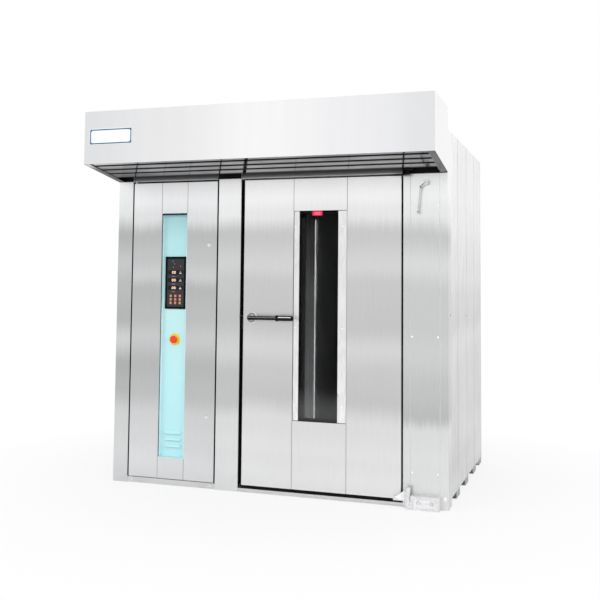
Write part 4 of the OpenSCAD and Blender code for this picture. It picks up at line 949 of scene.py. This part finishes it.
display = {"low": (0.253, 1.6735), "high": (0.315, 1.699), "thick": 0.0009, "digit": 0.0125,
           "aspect": 0.55, "stroke": 0.0017, "rise": 0.0006, "gap": 1.75}


def makeDisplay():
    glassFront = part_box("door_panes")[0].y
    (x0, z0), (x1, z1) = display["low"], display["high"]
    plate = addBlock("red_display", (x0, glassFront - display["thick"], z0), (x1, glassFront - 0.0001, z1))
    roundCorners(plate, "Y", 0.003, 3)
    insetFaces(plate, facesFront, (0.0012, -0.0003))
    fit(plate, "oven_door", "red_plastic", redLit)
    size = display["digit"]
    digits = makeZeros("red_digits", 3, ((x0 + x1) / 2, (z0 + z1) / 2), size, size * display["aspect"],
                       display["stroke"], glassFront - display["thick"] + 0.0002, display["rise"],
                       display["gap"])
    fit(digits, "oven_door", "red_plastic", redDigit)


makeDisplay()
print("red display done")

# black gaskets in the gaps, black also as their painted shade: two thicknesses, depth of the groove, lower
# end of the tall strips, and the stretch behind which the strike plate lies
gasket = {"thick": 0.0022, "thin": 0.00132, "groove": 0.0009, "foot": 0.042, "plate": (0.986, 1.063)}


def makeGasket(name, body, edge, thick, depths, heights):
    # a flat strip on an edge that faces right, with a groove along its free face; depths and
    # heights are where it starts and ends in Y and Z
    strip = addBlock(name, (edge, depths[0], heights[0]), (edge + thick, depths[1], heights[1]))
    insetFaces(strip, lambda c, n: n.x > 0.9, (gasket["thick"] * 1.6, 0),
               (gasket["thick"] * 0.4, -gasket["groove"]))
    softEdges(strip, 0.0003, 1)
    fit(strip, body, "seal_rubber", rubberAndShadeBlack)


def makeGaskets():
    doorLow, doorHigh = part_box("door_outer_shell")
    serviceLow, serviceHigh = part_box("service_door_shell")
    leftPillar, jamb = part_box("left_pillar")[1].x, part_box("centre_pillar")[1].x
    front, thick, thin, foot = doorLow.y, gasket["thick"], gasket["thin"], gasket["foot"]
    low, high = gasket["plate"]
    # latch side of the oven door: above, below and before the strike plate
    makeGasket("jamb_gasket_upper", "casing", jamb, thick, (front + 0.006, front + 0.100),
               (high + 0.002, underHeader))
    makeGasket("jamb_gasket_lower", "casing", jamb, thick, (front + 0.006, front + 0.100),
               (foot, low - 0.002))
    makeGasket("jamb_gasket_front", "casing", jamb, thick, (front + 0.006, front + 0.029), (low, high))
    makeGasket("hinge_edge_gasket", "oven_door", doorHigh.x, thick, (front + 0.004, front + 0.080),
               (doorLow.z + 0.004, doorHigh.z - 0.004))
    makeGasket("service_edge_gasket", "service_door", serviceHigh.x, thin, (front + 0.0005, front + 0.036),
               (serviceLow.z + 0.003, serviceHigh.z - 0.003))
    makeGasket("left_pillar_gasket", "casing", leftPillar, thin, (front + 0.001, front + 0.060),
               (foot, underHeader))


makeGaskets()
print("gaskets done")

# black line round the window and black strip in the recess as painted shade, white lip in the recess as a
# painted highlight, and beads along the cover; opening is the width of the recess
edging = {"window": 0.0026, "recessTop": 0.011, "recessSide": 0.0025, "deep": 0.010, "stand": 0.0008,
          "bead": 0.003, "lip": 0.0032, "opening": 0.180}


def makeEdging():
    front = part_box("door_outer_shell")[0].y
    trimLow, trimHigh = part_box("window_trims")
    # black line of painted shade round the window
    near, far, w = trimLow.y - edging["stand"], trimLow.y, edging["window"]
    sides = [addBlock("side", (x, near, trimLow.z), (x + w, far, trimHigh.z))
             for x in (trimLow.x, trimHigh.x - w)]
    sides += [addBlock("side", (trimLow.x + w, near, z), (trimHigh.x - w, far, z + w))
              for z in (trimLow.z, trimHigh.z - w)]
    for side in sides:
        insetFaces(side, facesFront, (w * 0.2, 0.0002))
    fit(joinAll(sides, "window_line"), "oven_door", "seal_rubber", rubberAndShadeBlack)
    # black strip of painted shadow under the upper edge of the recess, running down its left side
    panelLow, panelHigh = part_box("recess_panel")
    inset = (panelHigh.x - panelLow.x - edging["opening"]) / 2
    x0, x1, z0, z1 = panelLow.x + inset, panelHigh.x - inset, panelLow.z + inset, panelHigh.z - inset
    gap = 0.0004
    top = addBlock("recess_strip", (x0 + gap, front + 0.001, z1 - edging["recessTop"]),
                   (x1 - gap, front + edging["deep"], z1 - gap))
    insetFaces(top, lambda c, n: n.z < -0.9, (0.0015, -0.0008))
    side = addBlock("side", (x0 + gap, front + 0.001, z0 + gap),
                    (x0 + gap + edging["recessSide"], front + edging["deep"], z1 - edging["recessTop"]))
    strip = joinAll([top, side], "recess_strip")
    softEdges(strip, 0.0003, 1)
    fit(strip, "service_door", "seal_rubber", rubberAndShadeBlack)
    # white folded lip down the right side of the recess, a painted highlight on its edge
    lip = addBlock("recess_lip", (x1 - gap - edging["lip"], front + 0.0006, z0 + gap),
                   (x1 - gap, front + edging["deep"], z1 - edging["recessTop"]))
    roundCorners(lip, "Z", 0.0008, 2)
    fit(lip, "service_door", "front_steel", screwWhiteAndHighlight)
    # grey beads along the cover on the right pillar, which also stand for the painted shade line at its edges
    coverLow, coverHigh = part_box("right_pillar_cover")
    wide, face = edging["bead"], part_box("right_pillar")[0].y
    beads = []
    for x in (coverLow.x - wide, coverHigh.x):
        bead = addBlock("bead", (x, face - 0.0007, coverLow.z), (x + wide, face + 0.0005, coverHigh.z))
        insetFaces(bead, facesFront, (0.0006, 0.0002))
        beads.append(bead)
    fit(joinAll(beads, "cover_beads"), "casing", "seal_rubber", sealantAndShade)


makeEdging()
print("edging done")

# folded strip in the rear left corner of the chamber, with painted light that fades upward and a lip that
# glows as a painted glint

cornerStrip = {"onPartition": 0.085, "onRear": 0.048, "thick": 0.004, "lip": 0.004, "rise": 0.010,
               "bottom": 0.078, "top": 1.80}


def cornerPaintedLight():
    # painted light: a grey that deepens with height and glows faintly by itself
    material, tree, shader = newMaterial("cornerPaintedLight")
    cloud = noise(tree, stretched(tree, (8, 8, 0.6)), 6, 3)
    height = maths(tree, "MULTIPLY_ADD", maths(tree, "SUBTRACT", cloud, 0.5), 0.25, placeOf(tree)["Z"])
    share = spread(tree, height, 0.2, 1.8, 0, 1)
    stops = ((0.0, 0.78), (0.3, 0.56), (0.6, 0.42), (0.85, 0.2), (1.0, 0.04))
    tone = ramp(tree, share, [(place, (level,) * 3) for place, level in stops])
    dress(tree, shader, tone, spread(tree, cloud, 0.3, 0.7, 0.35, 0.5))
    tree.links.new(tone, shader.inputs["Emission Color"])
    shader.inputs["Emission Strength"].default_value = 0.5
    return material


def makeCornerStrip():
    corner = Vector((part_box("partition_wall")[1].x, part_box("back_wall")[0].y, 0))
    t, z0, z1 = cornerStrip["thick"], cornerStrip["bottom"], cornerStrip["top"]
    end = corner.x + cornerStrip["onRear"]
    side = addBlock("side", (corner.x, corner.y - cornerStrip["onPartition"], z0),
                    (corner.x + t, corner.y, z1))
    back = addBlock("back", (corner.x + t, corner.y - t, z0), (end, corner.y, z1))
    insetFaces(side, lambda c, n: n.x > 0.9, (0.004, -0.0008))
    insetFaces(back, facesFront, (0.004, -0.0008))
    strip = softEdges(joinAll([side, back], "corner_strip"), 0.0006, 1)
    fit(strip, "casing", "inner_steel", cornerPaintedLight())
    # lip that glows as a painted glint
    lip = addBlock("corner_lip", (end, corner.y - cornerStrip["rise"], z0),
                   (end + cornerStrip["lip"], corner.y, z1 - 0.05))
    roundCorners(lip, "Z", 0.0015, 3)
    fit(lip, "casing", "inner_steel", stripPaintedGlint)


makeCornerStrip()
print("corner strip done")

# white strip on the upper front of the grip as a painted highlight, and the collar at its start: place of the
# collar's middle from the grip's end, its length and how far it stands out
gripHighlight = {"lift": 24, "width": 0.0042, "stand": 0.0006, "ends": 0.013, "collar": (0.0025, 0.011, 0.0026)}


def makeGripHighlight():
    low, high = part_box("handle_grip")
    middle = (low + high) / 2
    radius, half = (high.z - low.z) / 2, gripHighlight["width"] / 2
    front = middle.y - radius
    line = addBlock("grip_highlight", (low.x + gripHighlight["ends"], front - gripHighlight["stand"], middle.z - half),
                    (high.x - gripHighlight["ends"], front + 0.002, middle.z + half))
    roundCorners(line, "Y", gripHighlight["width"] * 0.45, 4)
    insetFaces(line, facesFront, (0.0008, 0.0003))
    # swung up round the grip's own axis
    line.data.transform(Matrix.Translation(middle) @ Matrix.Rotation(math.radians(-gripHighlight["lift"]), 4, "X")
                        @ Matrix.Translation(-middle))
    fit(line, "door_handle", "bright_metal", screwWhiteAndHighlight)
    start, length, proud = gripHighlight["collar"]
    ring = addDisc("grip_collar", (low.x + start, middle.y, middle.z), radius + proud, length, "X", 48)
    insetFaces(ring, lambda c, n: abs(n.x) > 0.9, (0.0012, 0.0006))
    fit(softEdges(ring, 0.0008), "door_handle", "black_plastic", gripMoulded)


makeGripHighlight()
print("grip line done")

# camera

camera = {"place": (1.8796, -5.5539, 1.2640), "yaw": 18.7112, "pitch": 3.8719, "roll": 0.5351,
          "lens": 52.815, "shift": -0.1268}


def makeCamera():
    yaw, pitch, roll = (math.radians(camera[k]) for k in ("yaw", "pitch", "roll"))
    forward = Vector((-math.sin(yaw) * math.cos(pitch), math.cos(yaw) * math.cos(pitch), math.sin(pitch)))
    right = Vector((math.cos(yaw), math.sin(yaw), 0))
    up = right.cross(forward)
    side = math.cos(roll) * right + math.sin(roll) * up
    top = math.cos(roll) * up - math.sin(roll) * right
    bpy.ops.object.camera_add(location=camera["place"])
    cam = bpy.context.object
    turn = Matrix((side, top, -forward)).transposed()
    cam.matrix_world = Matrix.Translation(camera["place"]) @ turn.to_4x4()
    cam.data.sensor_width = 36
    cam.data.lens = camera["lens"]
    cam.data.shift_y = camera["shift"]
    cam.data.clip_end = 100
    scene.camera = cam


makeCamera()

# floor, world and lamps

# the floor's glow, as the camera sees it and as metal mirrors it: the distance up to which it is
# dimmed, the distance from which it is full, and the dimmed share
studio = {"floor": 24, "worldLight": 0.78, "zenithLight": 0.25,
          "floorSeen": (1.2, 2.6, 0.80), "floorMirrored": (1.5, 2.9, 0.12)}
# area lamps: place, what it is aimed at, size and power
lamps = {"keyLamp": ((-2.6, -4.2, 4.2), (0, 0, 1), 3.0, 60),
         "fillLamp": ((4.0, -2.6, 3.2), (0.3, 0, 1), 2.5, 40),
         "frontLamp": ((2.0, -5.6, 2.4), (-0.5, -0.9, 1.0), 2.5, 75)}


def seenRays(tree):
    # 1 where the camera sees the surface itself or through glass, and 1 where metal mirrors it
    path = tree.nodes.new("ShaderNodeLightPath").outputs
    return maths(tree, "MAXIMUM", path["Is Camera Ray"], path["Is Transmission Ray"]), path["Is Glossy Ray"]


def makeFloor():
    # a matt floor that glows white to the camera, dimmed near the casing
    bpy.ops.mesh.primitive_plane_add(size=studio["floor"], location=(0, 0, 0))
    floor = bpy.context.object
    floor.name = "floor"
    material, tree, shader = newMaterial("paleFloor")
    speckle = noise(tree, stretched(tree), 60, 3)
    dress(tree, shader, mixColour(tree, speckle, (0.80, 0.80, 0.80, 1), (0.84, 0.84, 0.84, 1)), 0.9)
    shader.inputs["Specular IOR Level"].default_value = 0.1
    glow = tree.nodes.new("ShaderNodeEmission")
    away = tree.nodes.new("ShaderNodeVectorMath")
    away.operation = "LENGTH"
    tree.links.new(objectSpace(tree), away.inputs[0])
    shares = []
    for ray, (near, far, least) in zip(seenRays(tree), (studio["floorSeen"], studio["floorMirrored"])):
        share = spread(tree, away.outputs["Value"], near, far, least, 1)
        shares.append(maths(tree, "MULTIPLY", ray, share))
    mix = tree.nodes.new("ShaderNodeMixShader")
    feed(tree, mix.inputs[0], maths(tree, "MAXIMUM", *shares))
    tree.links.new(shader.outputs[0], mix.inputs[1])
    tree.links.new(glow.outputs[0], mix.inputs[2])
    tree.links.new(mix.outputs[0], tree.nodes["Material Output"].inputs["Surface"])
    floor.data.materials.append(material)


def makeWorld():
    world = bpy.data.worlds.new("studio")
    scene.world = world
    world.use_nodes = True
    tree = world.node_tree
    background = tree.nodes["Background"]
    direct, glossy = seenRays(tree)
    # polished metal mirrors a darker ceiling over a white horizon
    up = tree.nodes.new("ShaderNodeSeparateXYZ")
    tree.links.new(tree.nodes.new("ShaderNodeTexCoord").outputs["Generated"], up.inputs[0])
    sky = spread(tree, up.outputs["Z"], 0.55, 0.85, 1, studio["zenithLight"])
    shown = maths(tree, "MAXIMUM", direct, maths(tree, "MULTIPLY", glossy, sky))
    anyShown = maths(tree, "MAXIMUM", direct, glossy)
    lamp = maths(tree, "MULTIPLY", maths(tree, "SUBTRACT", 1.0, anyShown), studio["worldLight"])
    background.inputs["Color"].default_value = (1, 1, 1, 1)
    feed(tree, background.inputs["Strength"], maths(tree, "ADD", shown, lamp))


def softLamp(name, place, target, size, power):
    # an area lamp that polished metal doesn't mirror
    bpy.ops.object.light_add(type="AREA", location=place)
    lamp = bpy.context.object
    lamp.name = name
    lamp.data.size = size
    lamp.data.energy = power
    lamp.rotation_euler = (Vector(target) - Vector(place)).to_track_quat("-Z", "Y").to_euler()
    lamp.visible_glossy = False


makeFloor()
makeWorld()
for name, values in lamps.items():
    softLamp(name, *values)
print("camera and studio ready")
